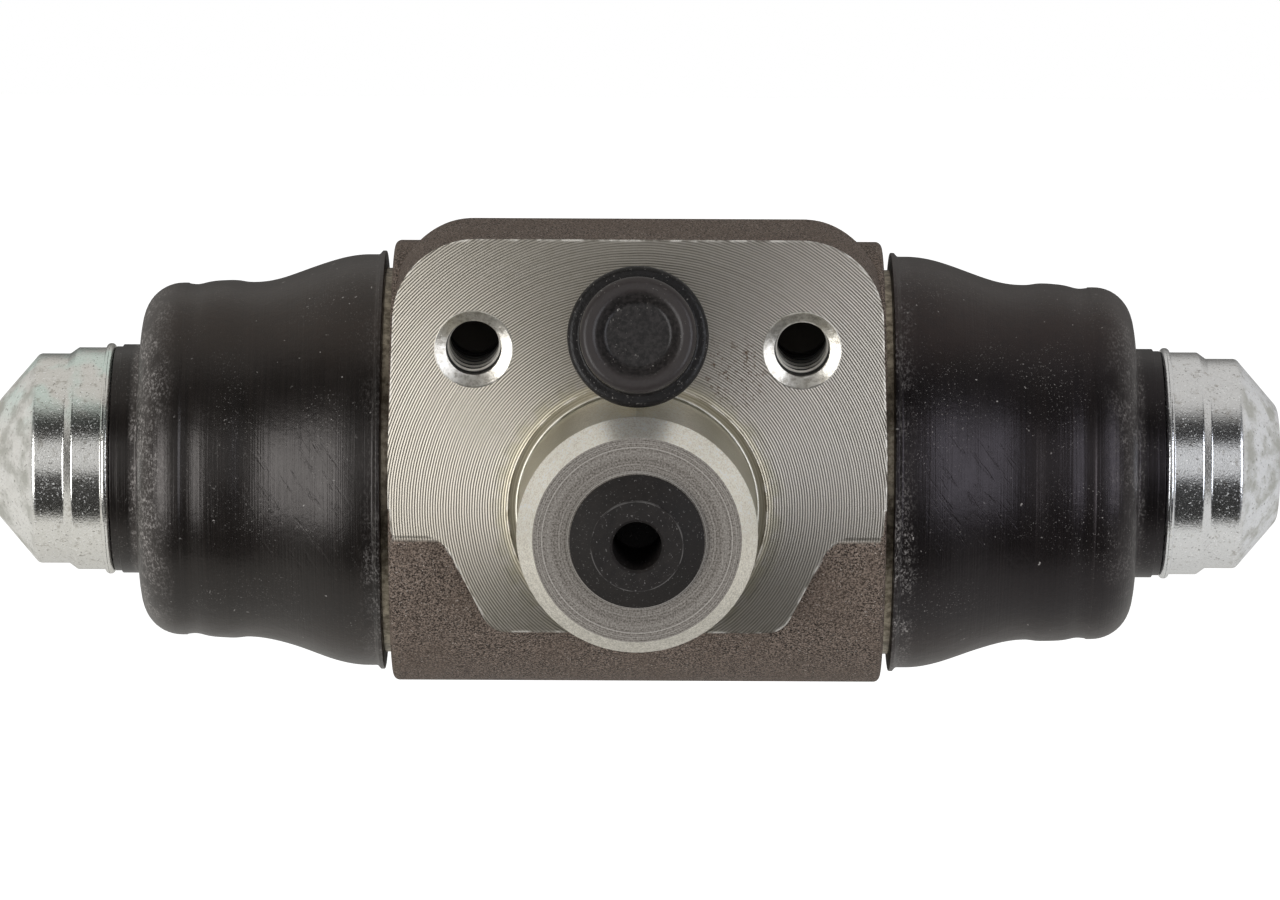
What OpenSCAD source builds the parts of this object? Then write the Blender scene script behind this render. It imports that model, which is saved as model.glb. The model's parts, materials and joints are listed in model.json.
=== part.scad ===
/* [Bore and barrel] */
// Diameter of the bore that the pistons run in
bore_d = 25.4; // [20:0.1:32]
// Iron left between the bore and the outside of the barrel
barrel_wall = 7.7; // [6.5:0.1:10]
// Length of the barrel between its shoulders
barrel_len = 45; // [40:0.5:60]
// How deep the mounting face is milled into the barrel
face_cut = 0.15; // [0.1:0.05:1]
// Rounding of the barrel's cast edges
barrel_edge = 0.6; // [0.3:0.1:1.2]
// Iron between the bore and the outside of the end spigots
spigot_wall = 5.1; // [4:0.1:6]
// Length of each spigot beyond the barrel's shoulder
spigot_len = 4.5; // [4:0.1:7]
// Chamfer on the mouths of the bore and of the spigots
mouth_chamfer = 0.7; // [0.3:0.1:1]
// Depth of the groove in each spigot that holds the boot's bead
bead_groove_depth = 1.2; // [0.6:0.1:1.6]
// Width of that groove
bead_groove_w = 1.6; // [1:0.1:2]

/* [Flange] */
// Height of the flange's top edge above the barrel
flange_rise = 4.4; // [3:0.1:8]
// Thickness of the flange behind the mounting face
flange_t = 10.7; // [7:0.1:12]
// Width of the flange below its top corners
flange_w = 44.1; // [41:0.1:44.5]
// Radius of the flange's top corners
corner_r = 7.5; // [4:0.1:10]
// Height at which the flange's sides start to lean in
lean_start = 5; // [2:0.5:9]
// Fillet between the back of the flange and the barrel
flange_fillet = 3.5; // [2:0.1:4.5]
// Rounding of the flange's back edge
flange_edge = 0.6; // [0.5:0.1:2]

/* [Lower pad] */
// How far the pad reaches below the port's axis
pad_drop = 11.4; // [9:0.1:13]
// Width of the pad along its lower edge, measured to the sharp corners
pad_w = 26.4; // [20:0.1:28]
// Slope of the pad's sides
pad_slope = 63; // [50:1:75]
// Rounding of the pad's lower corners
pad_corner_r = 2.4; // [1:0.1:3]
// Fillet where the pad's sides meet the barrel's flat
pad_fillet_r = 3.2; // [2:0.1:5]

/* [Inlet port] */
// Diameter of the port's boss
boss_d = 21.5; // [18:0.1:23]
// Height of the boss above the mounting face
boss_h = 12; // [9:0.1:16]
// Width of the chamfer round the boss's front face
boss_chamfer_w = 1.5; // [0.5:0.1:2.5]
// Length of that chamfer along the boss
boss_chamfer_h = 2.1; // [0.5:0.1:3]
// Fillet at the boss's root
boss_root_r = 0.35; // [0.2:0.05:0.4]
// Width of the relief turned into the face round the boss
relief_w = 0.95; // [0.5:0.05:1.5]
// Depth of that relief
relief_depth = 0.3; // [0.1:0.05:0.6]
// Core diameter of the port's M10 x 1 thread
port_d = 8.92; // [8:0.02:10]
// Depth of the port below the boss's front face
port_depth = 14; // [12:0.1:16]
// Countersink at the port's mouth
port_chamfer = 0.6; // [0.2:0.1:0.9]
// Diameter of the fluid passage into the bore
passage_d = 3.5; // [2:0.1:5]

/* [Mounting holes] */
// Distance between the two mounting holes
hole_spacing = 29.5; // [28:0.1:32]
// Height of the mounting holes above the port's axis
hole_height = 14.75; // [14:0.05:15.5]
// Core diameter of their M6 threads
hole_d = 5; // [4:0.1:5.6]
// Depth of the mounting holes
hole_depth = 11; // [8:0.1:11.5]
// Countersink at each hole's mouth
hole_chamfer = 1; // [0.3:0.1:1.3]
// Depth of that countersink
hole_sink = 0.55; // [0.3:0.05:1.2]

/* [Bleed screw] */
// Upward tilt of the bleed screw from the mounting face's normal
bleed_tilt = 13.5; // [8:0.5:18]
// Core diameter of the bleed screw's thread
bleed_d = 6; // [5:0.1:7]
// Depth of the conical seat's rim below the mounting face
bleed_seat_depth = 9; // [7:0.1:10]
// Countersink at the bleed port's mouth
bleed_chamfer = 0.75; // [0.5:0.05:0.9]
// Diameter of the bleed passage into the bore
bleed_passage_d = 2.5; // [1.5:0.1:3]
// Length of the bare shank between the mounting face and the hexagon
bleed_shank = 3.5; // [3.4:0.1:5]
// Width across the hexagon's flats
hex_af = 8; // [7.5:0.1:9]
// Height of the hexagon
hex_h = 3.1; // [2.5:0.1:5]
// Length of the nipple beyond the hexagon
nipple_len = 5.4; // [4.5:0.1:7]
// Diameter of the nipple's neck
neck_d = 4.4; // [4:0.1:4.8]
// Diameter of the nipple's barb
barb_d = 5.8; // [5.2:0.1:6.4]
// Diameter of the drilling along the nipple
drilling_d = 1.7; // [1:0.1:2]

/* [Bleed cap] */
// Diameter of the cap's lip
lip_d = 12.6; // [11.5:0.1:13]
// Thickness of the cap's lip
lip_t = 1.3; // [0.8:0.1:1.8]
// Diameter of the cap's body
cap_d = 10.3; // [9.4:0.1:11]
// Rubber over the end of the nipple
cap_top_t = 1.3; // [1:0.1:2]
// Rounding of the cap's shoulder
cap_shoulder_r = 1.2; // [0.6:0.1:1.5]
// Diameter of the shallow dish in the cap's top
dish_d = 7.6; // [6:0.1:7.7]
// Depth of that dish
dish_depth = 0.35; // [0.1:0.05:0.6]
// Free height between the cap's lip and the port's boss
cap_over_boss = 0.4; // [0.3:0.05:1.5]

/* [Port plug] */
// Diameter of the plug's head
plug_head_d = 12; // [10.6:0.1:13]
// Diameter of the plug's front rim
plug_rim_d = 8.2; // [6.6:0.1:9]
// Height of the plug's head
plug_head_h = 2.3; // [1.5:0.1:3]
// Length of the plug's stem in the port
plug_stem_len = 8; // [5:0.1:10]
// Diameter of the hole in the plug
plug_hole_d = 4.4; // [3:0.1:5.4]
// Thickness of the plug's floor
plug_floor = 1.4; // [0.8:0.1:2]

/* [Pistons] */
// Length of each piston
piston_len = 44; // [40:0.5:50]
// Length of the piston's guide
guide_len = 22; // [18:0.5:24]
// Chamfer on the guide's ends
guide_chamfer = 0.8; // [0.3:0.1:1.5]
// Diameter of the piston's stem
stem_d = 18; // [16:0.1:19]
// Diameter of the stem's nose, inside the thrust cap
nose_d = 16.84; // [14:0.02:17]
// Depth of the stem's groove for the boot's lip
lip_groove_depth = 0.4; // [0.2:0.05:0.8]
// Width of that groove
lip_groove_w = 2; // [1.4:0.1:2.2]

/* [Cup seals and spring] */
// Thickness of each cup's base
cup_base = 2.2; // [1.5:0.1:3]
// Depth of each cup, base included
cup_depth = 5; // [4.4:0.1:6.5]
// Thickness of the cup's lip at its root
cup_lip_t = 2.9; // [2:0.1:3.5]
// Thickness of the expander's plate
expander_t = 1.1; // [0.6:0.1:1.5]
// Height of the expander's rim and of its pilot
expander_rim = 1.2; // [0.6:0.1:1.4]
// Installed length of the return spring
spring_len = 21; // [20:0.5:26]
// Mean diameter of the spring's coils
spring_d = 14; // [12:0.1:15]
// Diameter of the spring's wire
wire_d = 1.3; // [0.8:0.1:1.5]
// Number of turns
spring_turns = 6.5; // [5:0.5:8]

/* [Boots] */
// Gap between the barrel's shoulder and the boot
boot_gap = 0.7; // [0.5:0.1:1.2]
// Rubber over the spigot
boot_mouth_wall = 1.2; // [0.9:0.1:1.6]
// Height of the thin lip round the boot's mouth
boot_lip = 0.35; // [0.1:0.05:0.6]
// Thickness of the boot's free wall
boot_wall = 1.9; // [1.2:0.1:2.2]
// How much smaller the boot's waist is than its mouth, in radius
boot_taper = 2.6; // [1.5:0.1:3]
// Where the waist starts, from the boot's mouth
boot_flare_len = 12.6; // [10:0.1:14]
// Length of the boot from its mouth to its end face
boot_len = 22.5; // [21:0.1:23]
// Height of the boot's soft ribs
rib_h = 0.2; // [0.05:0.05:0.4]
// Pitch of those ribs
rib_pitch = 4.6; // [3:0.1:6]
// Radius of the boot's outer corner
boot_corner_r = 3.6; // [2:0.1:4]
// Rubber round the stem at the boot's neck
boot_neck_wall = 1.6; // [1:0.1:2]
// How much the neck's last ring is set in
neck_step = 0.2; // [0.1:0.05:0.4]
// Width of that ring
neck_step_w = 0.7; // [0.4:0.1:1]

/* [Thrust caps] */
// Thickness of the pressed sheet
sheet = 1.25; // [0.8:0.05:1.6]
// Length of the cap's cone along its axis
cone_len = 3.85; // [3:0.05:5]
// Diameter of the flat that the shoe rests on
tip_d = 10.5; // [8:0.1:12]
// Length of the cap's narrow band, from the step to the cone
band_len = 2.5; // [1.5:0.1:4]
// Length of the cap's step
step_len = 1.4; // [0.8:0.1:2]
// Length of the cap's wide skirt
skirt_len = 3.1; // [1.8:0.1:3.4]
// Radius of the bead round the cap's open edge
rim_r = 0.4; // [0.2:0.05:0.6]
// Rounding between the narrow band and the cone
cap_round_r = 1.5; // [0.5:0.1:2.5]

/* [Clearances] */
// Gap round pieces that are seated in one another
seat_gap = 0.05; // [0.03:0.01:0.1]
// Gap round the pistons and the cups in the bore
running_gap = 0.03; // [0.02:0.01:0.06]

/* [Hidden] */
$fn = 96;
// Half angle of a twist drill's point
drill_half = 59;
// Overlap that keeps joined and cut shapes from sharing a face
lap = 1;
// Fillet cutters bite this far into the surface that they run out on
bite = 0.08;

bore_r = bore_d / 2;
barrel_r = bore_r + barrel_wall;
barrel_half = barrel_len / 2;
bore_y = barrel_r - face_cut;
spigot_r = bore_r + spigot_wall;
spigot_end = barrel_half + spigot_len;
groove_r = spigot_r - bead_groove_depth;
groove_mid = barrel_half + spigot_len / 2;
flange_top = barrel_r + flange_rise;
boss_r = boss_d / 2;
strip_half = sqrt(barrel_r * barrel_r - bore_y * bore_y);

bleed_r = bleed_d / 2;
hex_top = bleed_shank + hex_h;
nipple_top = hex_top + nipple_len;
lip_start = hex_top + seat_gap;
cap_top = nipple_top + seat_gap + cap_top_t;
bleed_z = boss_r + cap_over_boss + lip_d / 2 * cos(bleed_tilt) - lip_start * sin(bleed_tilt);

cup_r = bore_r - running_gap;
expander_start = spring_len / 2 + seat_gap;
cup_back = expander_start + expander_t + seat_gap + cup_base;
cup_front = cup_back - cup_depth;
cup_hollow_r = bore_r - cup_lip_t;
piston_start = cup_back + seat_gap;
piston_end = piston_start + piston_len;
guide_end = piston_start + guide_len;
stem_r = stem_d / 2;
nose_r = nose_d / 2;

skirt_r = stem_r + seat_gap + sheet;
band_r = nose_r + seat_gap + sheet;
tip_x = piston_end + seat_gap + sheet;
tip_r = tip_d / 2;
cone_x = tip_x - cone_len;
step_end = cone_x - band_len;
step_start = step_end - step_len;
skirt_start = step_start - skirt_len;
cone_turn = atan2(band_r - tip_r, cone_len);
step_turn = atan2(skirt_r - band_r, step_len);
cone_in_x = cone_x - sheet * tan(cone_turn / 2);
step_shift = sheet * tan(step_turn / 2);
tip_in_r = tip_r - sheet * tan(45 - cone_turn / 2);

boot_start = barrel_half + boot_gap;
boot_end = boot_start + boot_len;
waist_x = boot_start + boot_flare_len;
mouth_r = spigot_r + seat_gap + boot_mouth_wall;
waist_r = mouth_r - boot_taper;
neck_r = stem_r + boot_neck_wall;
neck_end = skirt_start - seat_gap;
lip_groove_mid = (boot_end + neck_end) / 2;
lip_groove_r = stem_r - lip_groove_depth;

// Turns a revolved shape to lie along the bore, with its local height as X
module along_bore() {
    translate([0, bore_y, 0]) rotate([0, 90, 0]) children();
}

// Puts a piece drawn on the right at either end: 1 is right, -1 is left
module at_end(side) {
    mirror([side < 0 ? 1 : 0, 0, 0]) children();
}

// Local height runs out of the mounting face
module out_of_face() {
    rotate([90, 0, 0]) children();
}

// Local height runs out along the bleed screw, from the mounting face
module along_bleeder() {
    translate([0, 0, bleed_z]) rotate([90 - bleed_tilt, 0, 0]) children();
}

// A plane shape given as X and Z, thickened from the depth y0 to y1
module upright(y0, y1) {
    translate([0, y1, 0]) rotate([90, 0, 0]) linear_extrude(y1 - y0) children();
}

// A rectangle from the axis out to r, with both outer corners rounded
module rounded_section(r, half, edge) {
    translate([0, -half]) square([r - edge, 2 * half]);
    translate([0, edge - half]) square([r, 2 * (half - edge)]);
    for (side = [-1, 1]) translate([r - edge, side * (half - edge)]) circle(r = edge);
}

// Half of the spigots' section, from the middle of the bore to one mouth
module spigot_section() {
    difference() {
        polygon([[0, 0], [spigot_r, 0], [spigot_r, spigot_end - mouth_chamfer],
            [spigot_r - mouth_chamfer, spigot_end], [0, spigot_end]]);
        translate([groove_r, groove_mid - bead_groove_w / 2]) square([spigot_r, bead_groove_w]);
    }
}

module barrel() {
    along_bore() rotate_extrude() {
        rounded_section(barrel_r, barrel_half, barrel_edge);
        spigot_section();
        mirror([0, 1]) spigot_section();
    }
}

// Front view of the flange: upright sides that lean in, and round top corners
module flange_outline() {
    corner_z = flange_top - corner_r;
    corner_x = flange_w / 2 - corner_r;
    polygon([[-barrel_half, 0], [barrel_half, 0], [barrel_half, lean_start], [flange_w / 2, corner_z],
        [corner_x, flange_top], [-corner_x, flange_top], [-flange_w / 2, corner_z],
        [-barrel_half, lean_start]]);
    for (side = [-1, 1]) translate([side * corner_x, corner_z]) circle(r = corner_r);
}

// Side view of the flange, with a fillet that runs out on top of the barrel
module flange_section() {
    edge_y = flange_t - flange_edge;
    edge_z = flange_top - flange_edge;
    fillet_y = flange_t + flange_fillet;
    reach = barrel_r + flange_fillet - bite;
    fillet_z = sqrt(reach * reach - pow(bore_y - fillet_y, 2));
    translate([-lap, 0]) square([edge_y + lap, flange_top]);
    translate([-lap, 0]) square([flange_t + lap, edge_z]);
    translate([edge_y, edge_z]) circle(r = flange_edge);
    difference() {
        polygon([[0, 0], [0, fillet_z], [fillet_y, fillet_z], [bore_y, 0]]);
        translate([fillet_y, fillet_z]) circle(r = flange_fillet);
    }
}

module flange() {
    intersection() {
        upright(-lap, bore_y) flange_outline();
        translate([-barrel_half, 0, 0]) rotate([90, 0, 90]) linear_extrude(barrel_len) flange_section();
    }
}

// Points on an arc round a centre, from one angle to another
function arc(centre, r, from, to, steps) = [for (i = [0:steps])
    let (angle = from + (to - from) * i / steps) centre + r * [cos(angle), sin(angle)]];

// Front view of the pad: sloping sides, round lower corners, fillets that run out on the barrel's flat
module pad_outline() {
    top = bite - strip_half;
    top_half = pad_w / 2 + (pad_drop + top) / tan(pad_slope);
    corner = [pad_w / 2 - pad_corner_r * tan(pad_slope / 2), pad_corner_r - pad_drop];
    fillet = [top_half + pad_fillet_r * tan(pad_slope / 2), top - pad_fillet_r];
    for (side = [0, 1]) mirror([side, 0]) polygon(concat([[-lap, lap], [-lap, -pad_drop]],
        arc(corner, pad_corner_r, -90, pad_slope - 90, 8),
        arc(fillet, pad_fillet_r, 90 + pad_slope, 90, 12),
        [[fillet[0], lap]]));
}

// What the milling cutter takes off in front of the mounting face, with the relief round the boss
module face_cutter() {
    reach = barrel_r + flange_top;
    translate([-reach, -reach, -reach]) cube([2 * reach, reach, 2 * reach]);
    translate([0, relief_depth, 0]) out_of_face() cylinder(r = boss_r + relief_w, h = relief_depth + lap);
}

// The boss stands on the floor of the relief, with a fillet at its root
module boss() {
    root = bore_y - bore_r - lap;
    fillet = [boss_r + boss_root_r, boss_root_r - relief_depth - bite];
    out_of_face() rotate_extrude() polygon(concat([[0, -root], [boss_r, -root], [boss_r, -lap]],
        arc(fillet, boss_root_r, 270, 180, 8),
        [[boss_r, boss_h - boss_chamfer_h], [boss_r - boss_chamfer_w, boss_h], [0, boss_h]]));
}

module bore() {
    along_bore() rotate_extrude() for (side = [0, 1]) mirror([0, side]) polygon([[0, -lap], [bore_r, -lap],
        [bore_r, spigot_end - mouth_chamfer], [bore_r + mouth_chamfer + lap, spigot_end + lap],
        [0, spigot_end + lap]]);
}

// A drilled hole from height 0 downwards, with a countersink and a drill's point
module drilled_hole(r, depth, chamfer, sink) {
    point = r / tan(drill_half);
    open_r = r + chamfer * (1 + lap / sink);
    rotate_extrude() polygon([[0, lap], [open_r, lap], [r, -sink], [r, -depth], [0, -depth - point]]);
}

module inlet_port() {
    passage_len = bore_y + boss_h - port_depth;
    translate([0, -boss_h, 0]) out_of_face()
        drilled_hole(port_d / 2, port_depth, port_chamfer, port_chamfer);
    translate([0, bore_y, 0]) out_of_face() cylinder(d = passage_d, h = passage_len + lap);
}

module mounting_holes() {
    for (side = [-1, 1]) translate([side * hole_spacing / 2, 0, hole_height]) out_of_face()
        drilled_hole(hole_d / 2, hole_depth, hole_chamfer, hole_sink);
}

// The bleed port: countersink, threaded length, conical seat and passage to the top of the bore
module bleed_port() {
    passage_r = bleed_passage_d / 2;
    seat_end = bleed_seat_depth + bleed_r - passage_r;
    along_bleeder() rotate_extrude() polygon([[0, 2 * lap], [bleed_r + bleed_chamfer + 2 * lap, 2 * lap],
        [bleed_r, -bleed_chamfer], [bleed_r, -bleed_seat_depth], [passage_r, -seat_end],
        [passage_r, -bore_y], [0, -bore_y]]);
}

module cylinder_body() {
    color("dimgray") difference() {
        union() {
            difference() {
                union() {
                    barrel();
                    flange();
                    upright(-lap, bore_y - bore_r - lap) pad_outline();
                }
                face_cutter();
            }
            boss();
        }
        bore();
        inlet_port();
        mounting_holes();
        bleed_port();
    }
}

// A turned piston: guide, stem with the boot's groove, and the nose inside the thrust cap
module piston() {
    guide_r = bore_r - running_gap;
    nose_start = step_start - step_shift;
    nose_cone = cone_in_x - 2 * seat_gap;
    along_bore() rotate_extrude() difference() {
        polygon([[0, piston_start], [guide_r - guide_chamfer, piston_start],
            [guide_r, piston_start + guide_chamfer], [guide_r, guide_end - guide_chamfer],
            [guide_r - guide_chamfer, guide_end], [stem_r, guide_end],
            [stem_r, nose_start - seat_gap], [nose_r, nose_start + step_len - seat_gap],
            [nose_r, nose_cone], [tip_in_r - 2 * seat_gap, piston_end], [0, piston_end]]);
        translate([lip_groove_r, lip_groove_mid - lip_groove_w / 2]) square([stem_r, lip_groove_w]);
    }
}

module piston_left() {
    color("lightsteelblue") at_end(-1) piston();
}

module piston_right() {
    color("lightsteelblue") at_end(1) piston();
}

// A pressed cap of even sheet: skirt with a beaded rim, step, band, cone and flat tip
module thrust_cap() {
    round_cut = cap_round_r * tan(cone_turn / 2);
    along_bore() rotate_extrude() {
        polygon([[skirt_r, skirt_start], [skirt_r, step_start], [band_r, step_end],
            [band_r, cone_x - round_cut],
            [band_r - round_cut * sin(cone_turn), cone_x + round_cut * cos(cone_turn)], [tip_r, tip_x],
            [0, tip_x], [0, tip_x - sheet], [tip_in_r, tip_x - sheet], [band_r - sheet, cone_in_x],
            [band_r - sheet, step_end - step_shift], [skirt_r - sheet, step_start - step_shift],
            [skirt_r - sheet, skirt_start]]);
        intersection() {
            translate([band_r - cap_round_r, cone_x - round_cut]) circle(r = cap_round_r);
            translate([band_r - sheet / 2, cone_x - round_cut]) square(sheet);
        }
        translate([skirt_r, skirt_start + rim_r]) circle(r = rim_r);
    }
}

module thrust_cap_left() {
    color("gainsboro") at_end(-1) thrust_cap();
}

module thrust_cap_right() {
    color("gainsboro") at_end(1) thrust_cap();
}

// The boot's outer radius at x: straight mouth, an eased flare, then soft ribs on a slight draft
function flare(x) = waist_r + boot_taper * (1 + cos(180 * (x - boot_start - boot_flare_len / 8)
    / (boot_flare_len * 7 / 8))) / 2;
function ribs(x) = let (turn = (x - waist_x) / rib_pitch)
    waist_r + rib_h * (1 - cos(360 * turn)) / 2 - rib_h * turn;
function boot_r(x) = x < boot_start + boot_flare_len / 8 ? mouth_r : x < waist_x ? flare(x) : ribs(x);

module boot() {
    wall_steps = 16;
    corner_steps = 6;
    free_start = spigot_end + 3 * seat_gap;
    corner_x = boot_end - boot_corner_r;
    corner_centre_r = boot_r(corner_x) - boot_corner_r;
    inner_end = boot_end - boot_wall;
    lip_half = lip_groove_w / 2 - seat_gap;
    bead_half = bead_groove_w / 2 - seat_gap;
    wall_x = [for (i = [0:wall_steps]) boot_start + 2 * boot_lip
        + (corner_x - boot_start - 2 * boot_lip) * i / wall_steps];
    outer_wall = [for (x = wall_x) [boot_r(x), x]];
    outer_corner = [for (i = [1:corner_steps]) corner_centre_r * [1, 0] + [0, corner_x]
        + boot_corner_r * [cos(90 * i / corner_steps), sin(90 * i / corner_steps)]];
    inner_wall = [for (i = [wall_steps:-1:0])
        if (wall_x[i] > spigot_end + boot_wall && wall_x[i] < inner_end - boot_wall)
            [boot_r(wall_x[i]) - boot_wall, wall_x[i]]];
    along_bore() rotate_extrude() polygon(concat(
        [[mouth_r + boot_lip, boot_start], [mouth_r + boot_lip, boot_start + boot_lip]],
        outer_wall,
        outer_corner,
        [[neck_r, boot_end], [neck_r, neck_end - neck_step_w], [neck_r - neck_step, neck_end - neck_step_w],
            [neck_r - neck_step, neck_end], [stem_r + seat_gap, neck_end],
            [stem_r + seat_gap, lip_groove_mid + lip_half],
            [lip_groove_r + seat_gap, lip_groove_mid + lip_half],
            [lip_groove_r + seat_gap, lip_groove_mid - lip_half],
            [stem_r + 4 * seat_gap, lip_groove_mid - lip_half], [stem_r + 4 * seat_gap, inner_end],
            [corner_centre_r, inner_end]],
        inner_wall,
        [[spigot_r + seat_gap, free_start],
            [spigot_r + seat_gap, groove_mid + bead_half], [groove_r + seat_gap, groove_mid + bead_half],
            [groove_r + seat_gap, groove_mid - bead_half], [spigot_r + seat_gap, groove_mid - bead_half],
            [spigot_r + seat_gap, boot_start]]));
}

module boot_left() {
    color("#262626") at_end(-1) boot();
}

module boot_right() {
    color("#262626") at_end(1) boot();
}

// A cup with a thick base against the piston and a lip that opens towards the fluid
module cup_seal() {
    cup_floor = cup_back - cup_base;
    relief = 8 * seat_gap;
    along_bore() rotate_extrude() polygon([[0, cup_back], [cup_r - relief, cup_back], [cup_r, cup_floor],
        [cup_r, cup_front + relief], [cup_r - relief, cup_front], [cup_hollow_r + relief, cup_front],
        [cup_hollow_r, cup_floor], [0, cup_floor]]);
}

module cup_seal_left() {
    color("#303030") at_end(-1) cup_seal();
}

module cup_seal_right() {
    color("#303030") at_end(1) cup_seal();
}

// A pressed dish: a plate on the cup's floor, a rim inside the cup's lip and a pilot inside the spring
module cup_expander() {
    plate_back = expander_start + expander_t;
    rim_front = expander_start - expander_rim;
    rim_out = cup_hollow_r - seat_gap;
    pilot_r = spring_d / 2 - wire_d;
    dish_r = pilot_r - expander_t;
    along_bore() rotate_extrude() polygon([[0, plate_back - expander_t], [dish_r, plate_back - expander_t],
        [dish_r, rim_front], [pilot_r, rim_front], [pilot_r, expander_start],
        [rim_out - expander_t, expander_start], [rim_out - expander_t, rim_front], [rim_out, rim_front],
        [rim_out, plate_back], [0, plate_back]]);
}

module cup_expander_left() {
    color("darkkhaki") at_end(-1) cup_expander();
}

module cup_expander_right() {
    color("darkkhaki") at_end(1) cup_expander();
}

// The spring's wire: closed end turns with an even pitch between them
function wire_x(turn) = let (dead = 0.75, close = wire_d * 1.02, live = spring_turns - 2 * dead,
    pitch = (spring_len - wire_d - 2 * dead * close) / live, from_end = wire_d / 2 - spring_len / 2)
    turn < dead ? from_end + close * turn
    : turn < dead + live ? from_end + close * dead + pitch * (turn - dead)
    : from_end + close * (turn - live) + pitch * live;
function wire_ring(turn, sides) = [for (j = [0:sides - 1])
    let (angle = 360 * turn, out = spring_d / 2 + wire_d / 2 * cos(360 * j / sides))
    [wire_x(turn) + wire_d / 2 * sin(360 * j / sides), bore_y + out * cos(angle), out * sin(angle)]];

module return_spring() {
    sides = 8;
    steps = 22;
    rings = round(spring_turns * steps);
    points = [for (i = [0:rings]) each wire_ring(i / steps, sides)];
    walls = [for (i = [0:rings - 1], j = [0:sides - 1])
        let (a = i * sides + j, b = i * sides + (j + 1) % sides) [a, a + sides, b + sides, b]];
    ends = [[for (j = [0:sides - 1]) j], [for (j = [sides - 1:-1:0]) rings * sides + j]];
    color("slategray") polyhedron(points, concat(walls, ends));
}

// Seat cone, relieved end with a cross drilling, threaded shank, hexagon and barbed nipple
module bleed_screw() {
    passage_r = bleed_passage_d / 2;
    shank_r = bleed_r - seat_gap;
    seat_rim = seat_gap - bleed_seat_depth;
    relief_r = shank_r - drilling_d / 3;
    relief_top = seat_rim + 2 * drilling_d;
    cross_z = seat_rim + drilling_d;
    barb_z = hex_top + nipple_len / 2;
    hex_r = hex_af / 2 / cos(30);
    color("silver") along_bleeder() difference() {
        union() {
            rotate_extrude() polygon([[0, seat_rim - shank_r + passage_r],
                [passage_r, seat_rim - shank_r + passage_r], [relief_r, seat_rim - shank_r + relief_r],
                [relief_r, relief_top], [shank_r, relief_top + shank_r - relief_r],
                [shank_r, bleed_shank + lap], [neck_d / 2, hex_top - lap], [neck_d / 2, barb_z - lap],
                [barb_d / 2, barb_z], [barb_d / 2, barb_z + lap / 2], [neck_d / 2, nipple_top],
                [0, nipple_top]]);
            intersection() {
                translate([0, 0, bleed_shank]) cylinder(r = hex_r, h = hex_h, $fn = 6);
                translate([0, 0, bleed_shank])
                    cylinder(r1 = hex_r + hex_h, r2 = hex_r - hex_h / 8, h = hex_h);
            }
        }
        translate([0, 0, cross_z]) cylinder(d = drilling_d, h = nipple_top - cross_z + lap);
        translate([0, 0, cross_z]) rotate([0, 90, 0])
            cylinder(d = drilling_d, h = 2 * bleed_d, center = true);
    }
}

// A rubber cap: lip on the hexagon, body over the nipple, rounded shoulder and dished top
module bleed_cap() {
    hollow_r = barb_d / 2 + seat_gap;
    shoulder_z = cap_top - cap_shoulder_r;
    shoulder_x = cap_d / 2 - cap_shoulder_r;
    lip_edge = lip_t / 3;
    color("#1e1e1e") along_bleeder() rotate_extrude() difference() {
        union() {
            translate([0, lip_start]) square([lip_d / 2 - lip_edge, lip_t]);
            translate([0, lip_start + lip_edge]) square([lip_d / 2, lip_t - 2 * lip_edge]);
            for (z = [lip_start + lip_edge, lip_start + lip_t - lip_edge])
                translate([lip_d / 2 - lip_edge, z]) circle(r = lip_edge, $fn = 32);
            translate([0, lip_start]) square([cap_d / 2, shoulder_z - lip_start]);
            translate([0, lip_start]) square([shoulder_x, cap_top - lip_start]);
            translate([shoulder_x, shoulder_z]) circle(r = cap_shoulder_r, $fn = 48);
        }
        translate([0, cap_top - dish_depth]) square([dish_d / 2, lap]);
        translate([0, lip_start - lap]) square([hollow_r, nipple_top + seat_gap - lip_start + lap]);
    }
}

// A plastic plug: hollow stem in the port, and a conical head with a raised rim round its hole
module port_plug() {
    stem_outer = port_d / 2 - seat_gap;
    hole_r = plug_hole_d / 2;
    head_r = plug_head_d / 2;
    rim_h = plug_head_h / 10;
    edge_h = plug_head_h / 4;
    color("#202020") translate([0, -boss_h - seat_gap, 0]) out_of_face() rotate_extrude()
        polygon([[0, -plug_stem_len], [stem_outer - port_chamfer, -plug_stem_len],
            [stem_outer, port_chamfer - plug_stem_len], [stem_outer, 0], [head_r, 0], [head_r, edge_h],
            [plug_rim_d / 2, plug_head_h - rim_h], [plug_rim_d / 2, plug_head_h],
            [hole_r + rim_h, plug_head_h], [hole_r, plug_head_h - rim_h],
            [hole_r, plug_floor - plug_stem_len], [0, plug_floor - plug_stem_len]]);
}

cylinder_body();
piston_left();
piston_right();
thrust_cap_left();
thrust_cap_right();
boot_left();
boot_right();
cup_seal_left();
cup_seal_right();
cup_expander_left();
cup_expander_right();
return_spring();
bleed_screw();
bleed_cap();
port_plug();
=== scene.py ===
# %% [markdown]
# # A wheel cylinder
# A drum brake's wheel cylinder is an iron casting with a bore from end to end. Two pistons push the brake shoes
# apart, rubber boots keep dirt out, and pressed steel caps take the shoes' load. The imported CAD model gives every
# place and size, so this lesson adds only what a lathe, a mould and daily handling leave on the surfaces.

# %% The frame
import json
import math

import bmesh
import bpy
import numpy as np
from mathutils import Matrix, Vector


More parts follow.
